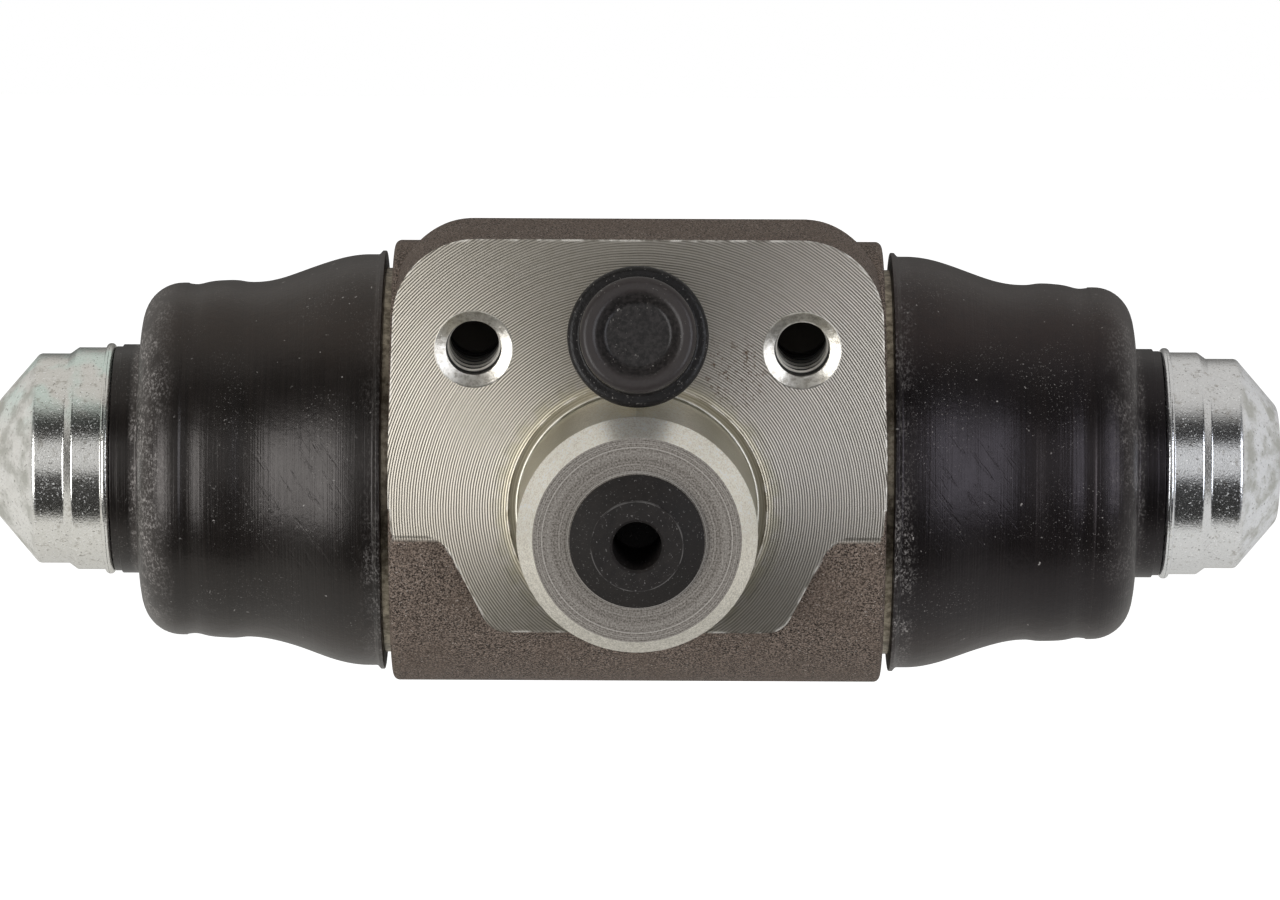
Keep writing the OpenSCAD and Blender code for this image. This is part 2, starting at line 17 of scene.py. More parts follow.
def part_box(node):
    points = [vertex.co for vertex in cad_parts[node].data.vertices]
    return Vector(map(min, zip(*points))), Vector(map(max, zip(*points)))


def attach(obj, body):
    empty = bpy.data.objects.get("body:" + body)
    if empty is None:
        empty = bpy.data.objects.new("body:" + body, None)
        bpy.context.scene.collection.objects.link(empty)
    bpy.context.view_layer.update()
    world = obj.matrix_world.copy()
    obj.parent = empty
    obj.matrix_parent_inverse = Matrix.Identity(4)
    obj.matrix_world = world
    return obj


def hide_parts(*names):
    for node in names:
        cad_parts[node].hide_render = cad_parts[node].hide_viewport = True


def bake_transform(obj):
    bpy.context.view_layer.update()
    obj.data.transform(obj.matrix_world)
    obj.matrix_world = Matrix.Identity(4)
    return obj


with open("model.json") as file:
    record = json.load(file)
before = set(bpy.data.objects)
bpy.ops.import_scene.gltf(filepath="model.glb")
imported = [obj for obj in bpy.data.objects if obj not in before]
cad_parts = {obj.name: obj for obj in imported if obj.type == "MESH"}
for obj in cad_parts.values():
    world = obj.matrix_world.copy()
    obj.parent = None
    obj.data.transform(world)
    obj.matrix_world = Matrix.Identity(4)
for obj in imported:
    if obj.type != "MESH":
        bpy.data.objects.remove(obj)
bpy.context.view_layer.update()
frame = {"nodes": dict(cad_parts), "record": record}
MM = 0.001
print("nodes:", sorted(frame["nodes"]))

# %% [markdown]
# ## Sizes
# Each size comes from the box of a CAD node, in millimetres, so the pieces below follow the model when it changes.
# The bore's axis runs along X. The mounting face is the plane Y = 0 and looks towards -Y.

# %% Sizes read from the frame


def span(node):
    """A node's lowest and highest corners, in millimetres."""
    low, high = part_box(node)
    return np.array(low) / MM, np.array(high) / MM


piston_low, piston_high = span("piston_right")
boot_low, boot_high = span("boot_right")
cap_low, cap_high = span("thrust_cap_right")
body_low, body_high = span("cylinder_body")
bore_axis = np.array([0, (piston_low[1] + piston_high[1]) / 2, 0])
lip_r = (boot_high[2] - boot_low[2]) / 2
spigot_end = body_high[0]
boss_front = body_low[1]
print("bore axis", bore_axis, "boot lip", lip_r, "spigot end", spigot_end, "boss front", boss_front)

# %% [markdown]
# ## Camera
# The photograph looks at the mounting face from a little above, through a long lens, with the object tipped a
# fraction of a degree. A camera is placed by its distance and elevation from the bore's axis, and turned by a matrix
# whose columns are its right, up and back directions.

# %% Camera
camera_distance = 700
camera_elevation = math.radians(12.6)
camera_roll = math.radians(0.27)
focal_pixels = 7545
image_width = 1280
aim = bore_axis + np.array([0.23, 0, 0])
aim_above = 1.0

forward = np.array([0, math.cos(camera_elevation), -math.sin(camera_elevation)])
level_up = np.array([0, math.sin(camera_elevation), math.cos(camera_elevation)])
right = math.cos(camera_roll) * np.array([1, 0, 0]) + math.sin(camera_roll) * level_up
up = np.cross(right, forward)
camera = bpy.data.objects.new("camera", bpy.data.cameras.new("camera"))
bpy.context.scene.collection.objects.link(camera)
camera.data.sensor_width = 36
camera.data.lens = camera.data.sensor_width * focal_pixels / image_width
camera.data.clip_start = 0.01
turn = Matrix([right, up, -forward]).transposed().to_4x4()
camera.matrix_world = Matrix.Translation(Vector((aim + aim_above * up - camera_distance * forward) * MM)) @ turn
bpy.context.scene.camera = camera
print("lens", round(camera.data.lens, 1), "mm")

# %% [markdown]
# ## Light
# The photograph has a soft lamp on each side of the camera, the right one a little cooler, weak ones above it and a
# white sheet behind the object. The room round the camera is dark: plated steel shows it as dark bands. The world does
# the same for reflections, pale behind and above the object and dark in front, and it fills the shadows evenly.

# %% Lamps


def soft_lamp(name, azimuth, elevation, distance, width, height, power, mirrored=True, colour=(1, 1, 1)):
    """An area lamp that looks at the bore's axis from an azimuth (0 is the camera's side, 90 is +X) and elevation."""
    lamp = bpy.data.objects.new(name, bpy.data.lights.new(name, "AREA"))
    bpy.context.scene.collection.objects.link(lamp)
    lamp.data.shape = "RECTANGLE"
    lamp.data.size, lamp.data.size_y, lamp.data.energy = width * MM, height * MM, power
    side, rise = math.radians(azimuth), math.radians(elevation)
    out = Vector((math.sin(side) * math.cos(rise), -math.cos(side) * math.cos(rise), math.sin(rise)))
    lamp.location = Vector(bore_axis * MM) + out * distance * MM
    lamp.visible_glossy = mirrored
    lamp.data.color = colour
    lamp.rotation_mode = "QUATERNION"
    lamp.rotation_quaternion = out.to_track_quat("Z", "Y")
    print(name, power, "W")


soft_lamp("lamp_left", azimuth=-41, elevation=1, distance=650, width=300, height=560, power=2.5)
soft_lamp("lamp_right", azimuth=42, elevation=8, distance=650, width=300, height=560, power=1.64,
          colour=(0.95, 0.98, 1.06))
soft_lamp("lamp_front", azimuth=0, elevation=15, distance=700, width=350, height=440, power=0.3)
soft_lamp("lamp_top", azimuth=0, elevation=64, distance=600, width=160, height=220, power=0.4, mirrored=False)
bpy.context.scene.view_settings.view_transform = "Standard"

# %% Nodes


def add_node(tree, kind, inputs, output=0, **settings):
    """Adds a shader node, links or sets its inputs, and gives back one of its outputs."""
    made = tree.nodes.new("ShaderNode" + kind)
    for setting, value in settings.items():
        setattr(made, setting, value)
    for socket, value in inputs.items():
        if isinstance(value, bpy.types.NodeSocket):
            tree.links.new(value, made.inputs[socket])
        else:
            made.inputs[socket].default_value = value
    return made.outputs[output]


def seen_rays(tree, *kinds):
    """1 for a ray of one of these kinds, and 0 for the rest."""
    rays = tree.nodes.new("ShaderNodeLightPath").outputs
    result = rays["Is " + kinds[0] + " Ray"]
    for kind in kinds[1:]:
        result = add_node(tree, "Math", {0: result, 1: rays["Is " + kind + " Ray"]}, operation="MAXIMUM")
    return result


# %% World
fill_level, dark_room, white_sheet = 0.52, 0.03, 0.56
plain_white, warm_white = (1, 1, 1, 1), (1, 0.98, 0.94, 1)
world = bpy.data.worlds.new("studio")
bpy.context.scene.world = world
world.use_nodes = True
world.cycles.sampling_method = "NONE"
sky = world.node_tree
sky.nodes.clear()
ray = add_node(sky, "TexCoord", {}, "Generated")
forwards = add_node(sky, "VectorMath", {0: ray, 1: tuple(-forward)}, "Value", operation="DOT_PRODUCT")
upwards = add_node(sky, "VectorMath", {0: ray, 1: tuple(level_up)}, "Value", operation="DOT_PRODUCT")
behind = add_node(sky, "MapRange", {"Value": forwards, "From Min": 0.28, "From Max": 0.08, "To Min": dark_room,
                                    "To Max": white_sheet}, interpolation_type="SMOOTHSTEP")
above = add_node(sky, "MapRange", {"Value": upwards, "From Min": 0.66, "From Max": 0.92, "To Min": dark_room,
                                   "To Max": white_sheet}, interpolation_type="SMOOTHSTEP")
not_far = add_node(sky, "MapRange", {"Value": forwards, "From Min": -0.97, "From Max": -0.65, "To Min": 0.3},
                   interpolation_type="SMOOTHSTEP")
sheets = add_node(sky, "Math", {0: behind, 1: above}, operation="MAXIMUM")
mirrored = add_node(sky, "Math", {0: sheets, 1: not_far}, operation="MULTIPLY")
shine = add_node(sky, "Mix", {"Factor": seen_rays(sky, "Glossy"), "A": fill_level, "B": mirrored}, data_type="FLOAT")
level = add_node(sky, "Mix", {"Factor": seen_rays(sky, "Camera", "Transmission"), "A": shine, "B": 1.0},
                 data_type="FLOAT")
sheet_colour = add_node(sky, "Mix", {0: seen_rays(sky, "Glossy"), 6: plain_white, 7: warm_white}, 2,
                        data_type="RGBA")
background = add_node(sky, "Background", {"Color": sheet_colour, "Strength": level})
sky.links.new(background, sky.nodes.new("ShaderNodeOutputWorld").inputs["Surface"])
print("world fill", fill_level)

# %% [markdown]
# ## Floor
# A sheet of white paper lies under the object. Camera and transmission rays see most of it as plain white, and the
# rest of its brightness comes from the lamps, so the object's soft shadow stays on it. Glossy rays see it a little
# greyer and warmer.

# %% Floor
floor_drop, floor_half, floor_front, paper_glow = 120, 900, -70, 0.6
floor_reach = (floor_half, floor_half - floor_front)
floor_corners = np.array([(-1, 0), (1, 0), (1, 1), (-1, 1)]) * floor_reach + (0, floor_front)
paper_seen_plain, paper_in_mirrors = (0.92, 0.92, 0.92, 1), (0.81, 0.80, 0.76, 1)
floor_mesh = bpy.data.meshes.new("floor")
floor_mesh.from_pydata([(x * MM, y * MM, -floor_drop * MM) for x, y in floor_corners], [], [(0, 1, 2, 3)])
floor = bpy.data.objects.new("floor", floor_mesh)
bpy.context.scene.collection.objects.link(floor)
paper = bpy.data.materials.new("paper")
paper.use_nodes = True
paper.cycles.emission_sampling = "NONE"
paper_shader = paper.node_tree.nodes["Principled BSDF"].inputs
paper_shader["Roughness"].default_value = 0.9
paper_shader["Emission Color"].default_value = plain_white
paper_seen = seen_rays(paper.node_tree, "Camera", "Transmission")
paper_mirrored = seen_rays(paper.node_tree, "Glossy")
paper_colour = add_node(paper.node_tree, "Mix", {0: paper_mirrored, 6: paper_seen_plain, 7: paper_in_mirrors}, 2,
                        data_type="RGBA")
glow = add_node(paper.node_tree, "Math", {0: paper_seen, 1: paper_glow}, operation="MULTIPLY")
paper.node_tree.links.new(paper_colour, paper_shader["Base Color"])
paper.node_tree.links.new(glow, paper_shader["Emission Strength"])
floor_mesh.materials.append(paper)
print("floor", 2 * floor_half, "mm wide,", floor_drop, "mm below the bore")

# %% [markdown]
# ## Finishes
# Every finish is one Principled shader. A small class adds the nodes that drive it: each call makes one node and
# gives back the socket with its result. Patterns read Object coordinates, turned into millimetres, so that a scale of
# 2 means two features in each millimetre.

# %% Finish


class Finish:
    """One Principled material. Each call adds a node and gives back the socket that carries its result."""

    def __init__(self, name, **plain):
        self.material = bpy.data.materials.new(name)
        self.material.use_nodes = True
        self.tree = self.material.node_tree
        self.shader = self.tree.nodes["Principled BSDF"]
        for socket, value in plain.items():
            self.shader.inputs[socket.replace("_", " ")].default_value = value
        where = self.node("TexCoord", {}, "Object")
        self.place = self.node("VectorMath", {0: where, "Scale": 1 / MM}, operation="SCALE")
        self.x, self.y, self.z = (self.node("SeparateXYZ", {0: self.place}, axis) for axis in "XYZ")
        self.relief = None

    def node(self, kind, inputs, output=0, **settings):
        return add_node(self.tree, kind, inputs, output, **settings)

    def math(self, operation, first, second=0.0):
        return self.node("Math", {0: first, 1: second}, operation=operation)

    def add(self, first, second):
        return self.math("ADD", first, second)

    def times(self, first, second):
        return self.math("MULTIPLY", first, second)

    def size(self, value):
        return self.math("ABSOLUTE", value)

    def step(self, value, low, high, start=0.0, end=1.0):
        """Goes smoothly from start to end while the value goes from low to high, which may be the smaller one."""
        return self.node("MapRange", {"Value": value, "From Min": low, "From Max": high, "To Min": start,
                                      "To Max": end}, interpolation_type="SMOOTHSTEP")

    def both(self, first, *masks):
        """1 where all the masks are 1."""
        for mask in masks:
            first = self.times(first, mask)
        return first

    def either(self, first, *masks):
        """1 where any of the masks is 1."""
        for mask in masks:
            first = self.math("MAXIMUM", first, mask)
        return first

    def unless(self, mask):
        return self.math("SUBTRACT", 1.0, mask)

    def stretched(self, x=1.0, y=1.0, z=1.0):
        """The place with each axis scaled, which draws a pattern out into streaks."""
        return self.node("VectorMath", {0: self.place, 1: (x, y, z)}, operation="MULTIPLY")

    def ringed(self, radius, rate):
        """A place that changes only with a radius, so that noise on it makes rings of uneven width."""
        return self.node("CombineXYZ", {"X": self.times(radius, rate)})

    def noise(self, scale, detail=2.0, roughness=0.5, place=None):
        """Cloudy noise with that many features in each millimetre."""
        return self.node("TexNoise", {"Vector": place or self.place, "Scale": scale, "Detail": detail,
                                      "Roughness": roughness})

    def cells(self, scale, place):
        """Distance to the nearest of points strewn that many to the millimetre."""
        return self.node("TexVoronoi", {"Vector": place, "Scale": scale}, "Distance")

    def radius(self, first, second):
        """Length of the vector with these two sides."""
        return self.math("SQRT", self.add(self.times(first, first), self.times(second, second)))

    def mix(self, mask, first, second):
        """The first colour where the mask is 0, the second where it is 1."""
        sides = {6: first, 7: second}
        colours = {key: (*value, 1) if isinstance(value, tuple) else value for key, value in sides.items()}
        return self.node("Mix", {0: mask, **colours}, 2, data_type="RGBA")

    def blend(self, mask, first, second):
        """The first number where the mask is 0, the second where it is 1."""
        return self.node("Mix", {0: mask, 2: first, 3: second}, data_type="FLOAT")

    def shaded(self, colour, level):
        """A colour made darker or lighter by a level."""
        return self.node("VectorMath", {0: colour, "Scale": level}, operation="SCALE")

    def raise_by(self, height, depth):
        """Adds a height of 0 to 1 to the surface's relief, with its depth in millimetres."""
        below = {} if self.relief is None else {"Normal": self.relief}
        self.relief = self.node("Bump", {"Height": height, "Distance": depth * MM, "Strength": 1.0, **below})

    def lean(self, direction, amount):
        """Tilts the surface's normal in a direction. An amount of 1 is 45 degrees."""
        upright = self.node("NewGeometry", {}, "Normal") if self.relief is None else self.relief
        tilt = self.node("VectorMath", {0: direction, "Scale": amount}, operation="SCALE")
        sum_of_both = self.node("VectorMath", {0: upright, 1: tilt})
        self.relief = self.node("VectorMath", {0: sum_of_both}, operation="NORMALIZE")

    def edges(self, width, low, high):
        """1 along sharp edges: where the normal of a rounded copy leans away from the surface's own."""
        rounded_normal = self.node("Bevel", {"Radius": width * MM}, samples=4)
        own_normal = self.node("NewGeometry", {}, "Normal")
        lean = self.node("VectorMath", {0: rounded_normal, 1: own_normal}, "Value", operation="DOT_PRODUCT")
        return self.step(lean, low, high)

    def wire(self, **sockets):
        """Links results to the shader, with the relief as its normal."""
        if self.relief is not None:
            sockets["Normal"] = self.relief
        for socket, value in sockets.items():
            self.tree.links.new(value, self.shader.inputs[socket.replace("_", " ")])
        print("finish", self.material.name, "has", len(self.tree.nodes), "nodes")


def dress(finish, *nodes):
    """Gives CAD nodes a finish."""
    for node in nodes:
        materials = frame["nodes"][node].data.materials
        materials.clear()
        materials.append(finish.material)


# %% [markdown]
# ## The casting's finish
# Sand leaves the iron grey-brown and grainy. A lathe then faces the mounting face in one cut round the port's axis
# and leaves rings a quarter of a millimetre apart, which throw a fan of light to each side. All of it is one solid, so
# masks from the place choose between the skins: the cut face, the boss, the drilled holes and the spigots.

# %% Where the casting is cut
iron = Finish("cast_iron", Specular_IOR_Level=0.12)
face_y, relief_r, root_r, boss_r, hole_x, hole_z, sink_r, shoulder = 0, 11.7, 10.95, 11.2, 14.75, 14.75, 3.5, 22.5
hole_end, bore_skin_r, port_skin_r, port_end, chamfer_len = 12.5, 13.4, 4.65, 6, 2.0
from_port = iron.radius(iron.x, iron.z)
from_hole = iron.radius(iron.add(iron.size(iron.x), -hole_x), iron.add(iron.z, -hole_z))
from_bore = iron.radius(iron.add(iron.y, -bore_axis[1]), iron.z)
on_face = iron.step(iron.y, face_y + 0.1, face_y + 0.03)
on_relief = iron.both(iron.step(from_port, relief_r + 0.1, relief_r), iron.step(iron.y, 0.5, 0.42))
on_boss = iron.both(iron.step(iron.y, -0.12, -0.25), iron.step(from_port, boss_r + 0.1, boss_r))
on_front = iron.step(iron.y, boss_front + 0.12, boss_front + 0.02)
on_chamfer = iron.both(iron.step(iron.y, boss_front + chamfer_len + 0.3, boss_front + chamfer_len),
                       iron.unless(on_front))
in_hole = iron.both(iron.step(from_hole, sink_r + 0.07, sink_r), iron.step(iron.y, hole_end + 0.5, hole_end))
deep_in_hole = iron.both(in_hole, iron.step(iron.y, 1.0, 7.0))
on_spigot = iron.step(iron.size(iron.x), shoulder, shoulder + 0.08)
in_bore = iron.step(from_bore, bore_skin_r + 0.1, bore_skin_r)
in_port = iron.both(iron.step(from_port, port_skin_r + 0.1, port_skin_r),
                    iron.step(iron.y, boss_front + 0.2, boss_front + 0.5),
                    iron.step(iron.y, port_end + 0.5, port_end))
near_root = iron.both(on_relief, iron.step(from_port, root_r + 0.07, root_r))
is_cut = iron.either(on_face, on_relief, in_hole, in_port, on_spigot, in_bore)
print("masks of the casting:", len(iron.tree.nodes), "nodes")

# %% The sand-cast skin
grain = iron.noise(6.0, detail=2, roughness=0.7)
patches = iron.noise(0.2, detail=3)
light_grains_and_painted_glints = iron.step(iron.noise(5.5, detail=2, roughness=0.6), 0.64, 0.72)
pits = iron.step(iron.noise(4.0, detail=2, roughness=0.7), 0.38, 0.28)
lumps = iron.noise(1.7, detail=5, roughness=0.72)
skin_level = iron.add(iron.times(grain, 0.9), iron.times(lumps, 0.1))
skin_colour = iron.mix(iron.step(skin_level, 0.36, 0.66), (0.014, 0.010, 0.008), (0.248, 0.194, 0.158))
skin_colour = iron.mix(iron.step(patches, 0.42, 0.68, end=0.35), skin_colour, (0.118, 0.088, 0.068))
# Light grains in the skin's colour: partly real grains, partly painted glints.
skin_colour = iron.mix(iron.times(light_grains_and_painted_glints, 0.75), skin_colour, (0.52, 0.47, 0.42))
skin_colour = iron.mix(iron.times(pits, 0.5), skin_colour, (0.014, 0.011, 0.009))
print("with the cast skin:", len(iron.tree.nodes), "nodes")

# %% The turned face
ring_pitch = 0.235
ring_drift = iron.times(iron.noise(0.3, detail=2), 4.0)
ring_wave = iron.math("SINE", iron.add(iron.times(from_port, 2 * math.pi / ring_pitch), ring_drift))
rings = iron.step(ring_wave, -0.75, 0.75)
ring_wear = iron.noise(1.0, detail=3, place=iron.ringed(from_port, 2.4))
grey = iron.noise(1.6, detail=4, roughness=0.6)
fine_wear = iron.noise(1.0, detail=2, roughness=0.7, place=iron.ringed(from_port, 5.2))
face_grain = iron.noise(8.0, detail=2, roughness=0.6)
ring_change = iron.add(iron.times(ring_wear, 0.3), iron.times(fine_wear, 0.5))
face_level = iron.add(iron.add(iron.times(rings, 0.5), ring_change), iron.times(iron.add(grey, face_grain), 0.25))
face_colour = iron.shaded(iron.mix(grey, (0.345, 0.317, 0.262), (0.317, 0.296, 0.264)), iron.add(face_level, 0.1))
near_right_hole = iron.both(iron.step(iron.x, 4, 7), iron.step(iron.x, 13, 10), iron.step(iron.z, 8.5, 10.5),
                            iron.step(iron.z, 17, 14))
rust = iron.both(iron.step(iron.noise(1.7, detail=5, roughness=0.75), 0.53, 0.63), near_right_hole)
face_colour = iron.mix(iron.times(rust, 0.85), face_colour, (0.11, 0.065, 0.038))
grooved = iron.both(iron.step(from_port, 13.8, 12.4), iron.step(iron.noise(0.5, detail=3), 0.35, 0.6))
groove_colour = iron.mix(iron.step(fine_wear, 0.3, 0.7), (0.07, 0.065, 0.045), (0.50, 0.465, 0.335))
face_colour = iron.mix(iron.times(grooved, 0.6), face_colour, groove_colour)
print("with the turned face:", len(iron.tree.nodes), "nodes")

# %% The boss, the relief and the spigots
speckle = iron.noise(6.0, detail=2, roughness=0.7)
turned = iron.noise(1.0, detail=4, roughness=0.7, place=iron.ringed(from_port, 4.0))
hair = iron.noise(1.0, detail=2, roughness=0.6, place=iron.ringed(from_port, 2.6))
scratches = iron.either(iron.step(turned, 0.61, 0.7), iron.step(iron.size(iron.add(hair, -0.5)), 0.012, 0.004))
front_level = iron.add(iron.times(speckle, 0.65), iron.times(turned, 0.35))
front_colour = iron.mix(iron.step(front_level, 0.36, 0.64), (0.078, 0.068, 0.058), (0.258, 0.237, 0.212))
front_colour = iron.mix(iron.times(scratches, 0.35), front_colour, (0.62, 0.59, 0.54))
# Painted light and shade: the boss's sides and chamfer grow lighter towards the top and darker towards the bottom.
side_level = iron.add(iron.step(speckle, 0.34, 0.66, end=0.3), iron.times(grey, 0.4))
side_colour = iron.shaded(iron.mix(grey, (0.885, 0.835, 0.72), (0.93, 0.895, 0.82)),
                          iron.add(side_level, iron.step(iron.z, -9, 3, start=0.34, end=0.76)))
relief_level = iron.add(iron.times(rings, 0.3), 0.8)
relief_colour = iron.shaded(iron.mix(ring_wear, (0.36, 0.325, 0.24), (0.54, 0.495, 0.39)), relief_level)
spigot_wear = iron.step(iron.noise(1.3, detail=4, roughness=0.7), 0.35, 0.65)
spigot_colour = iron.mix(spigot_wear, (0.20, 0.17, 0.13), (0.56, 0.495, 0.39))
print("with the boss:", len(iron.tree.nodes), "nodes")

# %% The holes and the port
beside_hole = iron.add(iron.x, iron.times(iron.math("SIGN", iron.x), -hole_x))
hole_turn = iron.math("ARCTAN2", iron.add(iron.z, -hole_z), beside_hole)
thread_pitch, thread_start = 1.5, 0.9
thread_rise = iron.times(iron.add(iron.y, -thread_start), 1 / thread_pitch)
thread_phase = iron.math("FRACT", iron.add(iron.add(thread_rise, 0.5), iron.times(hole_turn, -0.5 / math.pi)))
thread_valley_shade = iron.both(iron.step(iron.size(iron.add(thread_phase, -0.5)), 0.12, 0.3), iron.step(iron.y, 0.5, 0.7))
sink_wear = iron.noise(2.2, detail=4, roughness=0.7)
sink_colour = iron.mix(iron.step(sink_wear, 0.4, 0.7), (0.78, 0.75, 0.68), (0.46, 0.425, 0.36))
# Painted shade: the valleys between the thread's turns are painted nearly black.
hole_colour = iron.mix(iron.times(thread_valley_shade, 0.95), sink_colour, (0.012, 0.010, 0.009))
# Painted shade: the hole's wall is painted darker further into the hole.
hole_colour = iron.mix(deep_in_hole, hole_colour, (0.08, 0.072, 0.062))
port_pitch = 1.0
port_turn = iron.times(iron.math("ARCTAN2", iron.z, iron.x), -0.5 / math.pi)
port_phase = iron.math("FRACT", iron.add(iron.times(iron.y, 1 / port_pitch), port_turn))
port_ridge = iron.step(iron.size(iron.add(port_phase, -0.5)), 0.42, 0.08)
# Painted shade: the port thread's valleys are painted dark, and the whole thread darker further into the port.
port_colour = iron.mix(port_ridge, (0.045, 0.040, 0.035), (0.46, 0.43, 0.36))
port_colour = iron.shaded(port_colour, iron.step(iron.y, boss_front + 2, 2, start=1.0, end=0.2))
print("with the holes:", len(iron.tree.nodes), "nodes")

# %% All the cut skins
by_relief = iron.either(on_relief, iron.both(on_face, iron.step(from_port, relief_r + 0.7, relief_r + 0.3)))
cut_colour = iron.mix(by_relief, face_colour, relief_colour)
# A painted highlight: a light line round the boss's root, where the fillet meets the relief.
cut_colour = iron.mix(near_root, cut_colour, (0.58, 0.56, 0.48))
# A painted reflection: the boss's flanks beside the chamfer are painted dark olive.
painted_flank_reflection = iron.both(iron.unless(on_chamfer), iron.step(iron.size(iron.x), 3.5, 7.0))
side_colour = iron.mix(iron.times(painted_flank_reflection, 0.75), side_colour, (0.26, 0.24, 0.17))
cut_colour = iron.mix(on_boss, cut_colour, side_colour)
cut_colour = iron.mix(on_front, cut_colour, front_colour)
cut_colour = iron.mix(in_hole, cut_colour, hole_colour)
cut_colour = iron.mix(in_port, cut_colour, port_colour)
cut_colour = iron.mix(iron.either(on_spigot, in_bore), cut_colour, spigot_colour)
print("with all the cut skins:", len(iron.tree.nodes), "nodes")

# %% The casting's relief and gloss
outward = iron.node("VectorMath", {0: iron.node("CombineXYZ", {"X": iron.x, "Z": iron.z})}, operation="NORMALIZE")
on_rings = iron.both(on_face, iron.unless(on_boss), iron.unless(in_hole))
ring_tilt = iron.add(iron.add(iron.times(rings, 0.34), iron.times(fine_wear, 0.3)), -0.10)
iron.lean(outward, iron.both(ring_tilt, on_rings))
on_root = iron.both(near_root, iron.step(iron.y, 0.1, 0.2))
iron.lean(outward, iron.times(on_root, 0.34))
in_sink = iron.both(in_hole, iron.step(iron.y, 0.54, 0.5), iron.step(iron.y, 0.02, 0.06))
iron.lean((0, -1, 0), iron.times(in_sink, 0.28))
iron.raise_by(iron.both(grain, iron.unless(is_cut)), 0.17)
iron.raise_by(iron.both(speckle, on_boss), 0.025)
iron.raise_by(iron.both(sink_wear, in_hole), 0.03)
iron.raise_by(iron.both(port_ridge, in_port), 0.3)
worn = iron.noise(0.6, detail=4, roughness=0.6)
near_edge = iron.both(iron.edges(0.4, 0.985, 0.9), iron.step(iron.y, 1.0, 0.6), iron.step(iron.y, -0.6, -0.2))
# Light edges: partly real burrs, partly a painted highlight along the cut edges.
burr_and_edge_highlight = iron.both(near_edge, iron.step(worn, 0.42, 0.6))
nicks = iron.both(near_edge, iron.step(worn, 0.46, 0.36), on_face)
cut_metal = iron.blend(on_front, iron.blend(deep_in_hole, iron.blend(on_boss, 1.0, 0.85), 0.2), 0.3)
boss_rough = iron.blend(on_front, iron.blend(in_hole, 0.36, 0.32), 0.55)
cut_rough = iron.blend(iron.either(on_boss, in_hole), iron.add(iron.times(grey, 0.1), 0.37), boss_rough)
colour = iron.mix(is_cut, skin_colour, cut_colour)
colour = iron.mix(iron.times(nicks, 0.6), colour, (0.13, 0.105, 0.085))
iron.wire(
    Base_Color=iron.mix(iron.times(burr_and_edge_highlight, 0.8), colour, (0.80, 0.77, 0.71)),
    Metallic=iron.blend(burr_and_edge_highlight, iron.blend(is_cut, 0.1, cut_metal), 0.35),
    Roughness=iron.blend(is_cut, 0.65, cut_rough),
)
dress(iron, "cylinder_body")

# %% [markdown]
# ## Surfaces on a grid
# A turned or moulded piece is a line carried round an axis. The line's corners are rounded first, because no real
# edge is sharp and a rounded edge catches the light. The grid of points that comes out has a row for each point of
# the line and a column for each step of the turn.

# %% Rounded lines


def rounded(corners, steps=6):
    """Rounds the inner corners of a line. Each corner is (along, out, radius).

    At a corner the two runs leave in the directions a and b. The arc's centre lies on the line that halves them, at
    radius / sin(half the angle), and it touches the runs at radius / tan(half the angle) from the corner. One more
    point on each run, just outside the arc, keeps the shading of the run flat.
    """
    corners = np.array(corners, float)
    point, radius = corners[1:-1, :2], corners[1:-1, 2:]
    before, after = corners[:-2, :2] - point, corners[2:, :2] - point
    before /= np.linalg.norm(before, axis=1, keepdims=True)
    after /= np.linalg.norm(after, axis=1, keepdims=True)
    half = np.arccos(np.clip(np.sum(before * after, axis=1, keepdims=True), -1, 1)) / 2
    middle = before + after
    centre = point + middle / np.linalg.norm(middle, axis=1, keepdims=True) * radius / np.sin(half)
    reach = radius / np.tan(half)
    start, end = point + before * reach - centre, point + after * reach - centre
    first = np.arctan2(start[:, 1], start[:, 0])
    sweep = (np.arctan2(end[:, 1], end[:, 0]) - first + math.pi) % (2 * math.pi) - math.pi
    angle = first[:, None] + sweep[:, None] * np.linspace(0, 1, steps)
    arcs = centre[:, None] + radius[:, None] * np.stack([np.cos(angle), np.sin(angle)], axis=2)
    lead = reach * 1.1 + 0.02
    lead_in, lead_out = point + before * lead, point + after * lead
    runs = np.concatenate([lead_in[:, None], arcs, lead_out[:, None]], axis=1).reshape(-1, 2)
    return np.concatenate([corners[:1, :2], runs, corners[-1:, :2]])


# %% Lines carried round an axis


def lathe(line, origin, axis, steps=256):
    """Carries a line of (along, out) points round an axis.

    A point is origin + along * axis + out * (cos(turn) * side + sin(turn) * other), where side and other are square
    to the axis and to each other.
    """
    axis = np.array(axis, float) / np.linalg.norm(axis)
    side = np.cross(axis, [0, 0, 1])
    side /= np.linalg.norm(side)
    other = np.cross(axis, side)
    turn = np.linspace(0, 2 * math.pi, steps, endpoint=False)
    ring = np.cos(turn)[:, None] * side + np.sin(turn)[:, None] * other
    return np.array(origin) + line[:, None, :1] * axis + line[:, None, 1:] * ring


# %% Grids made into objects


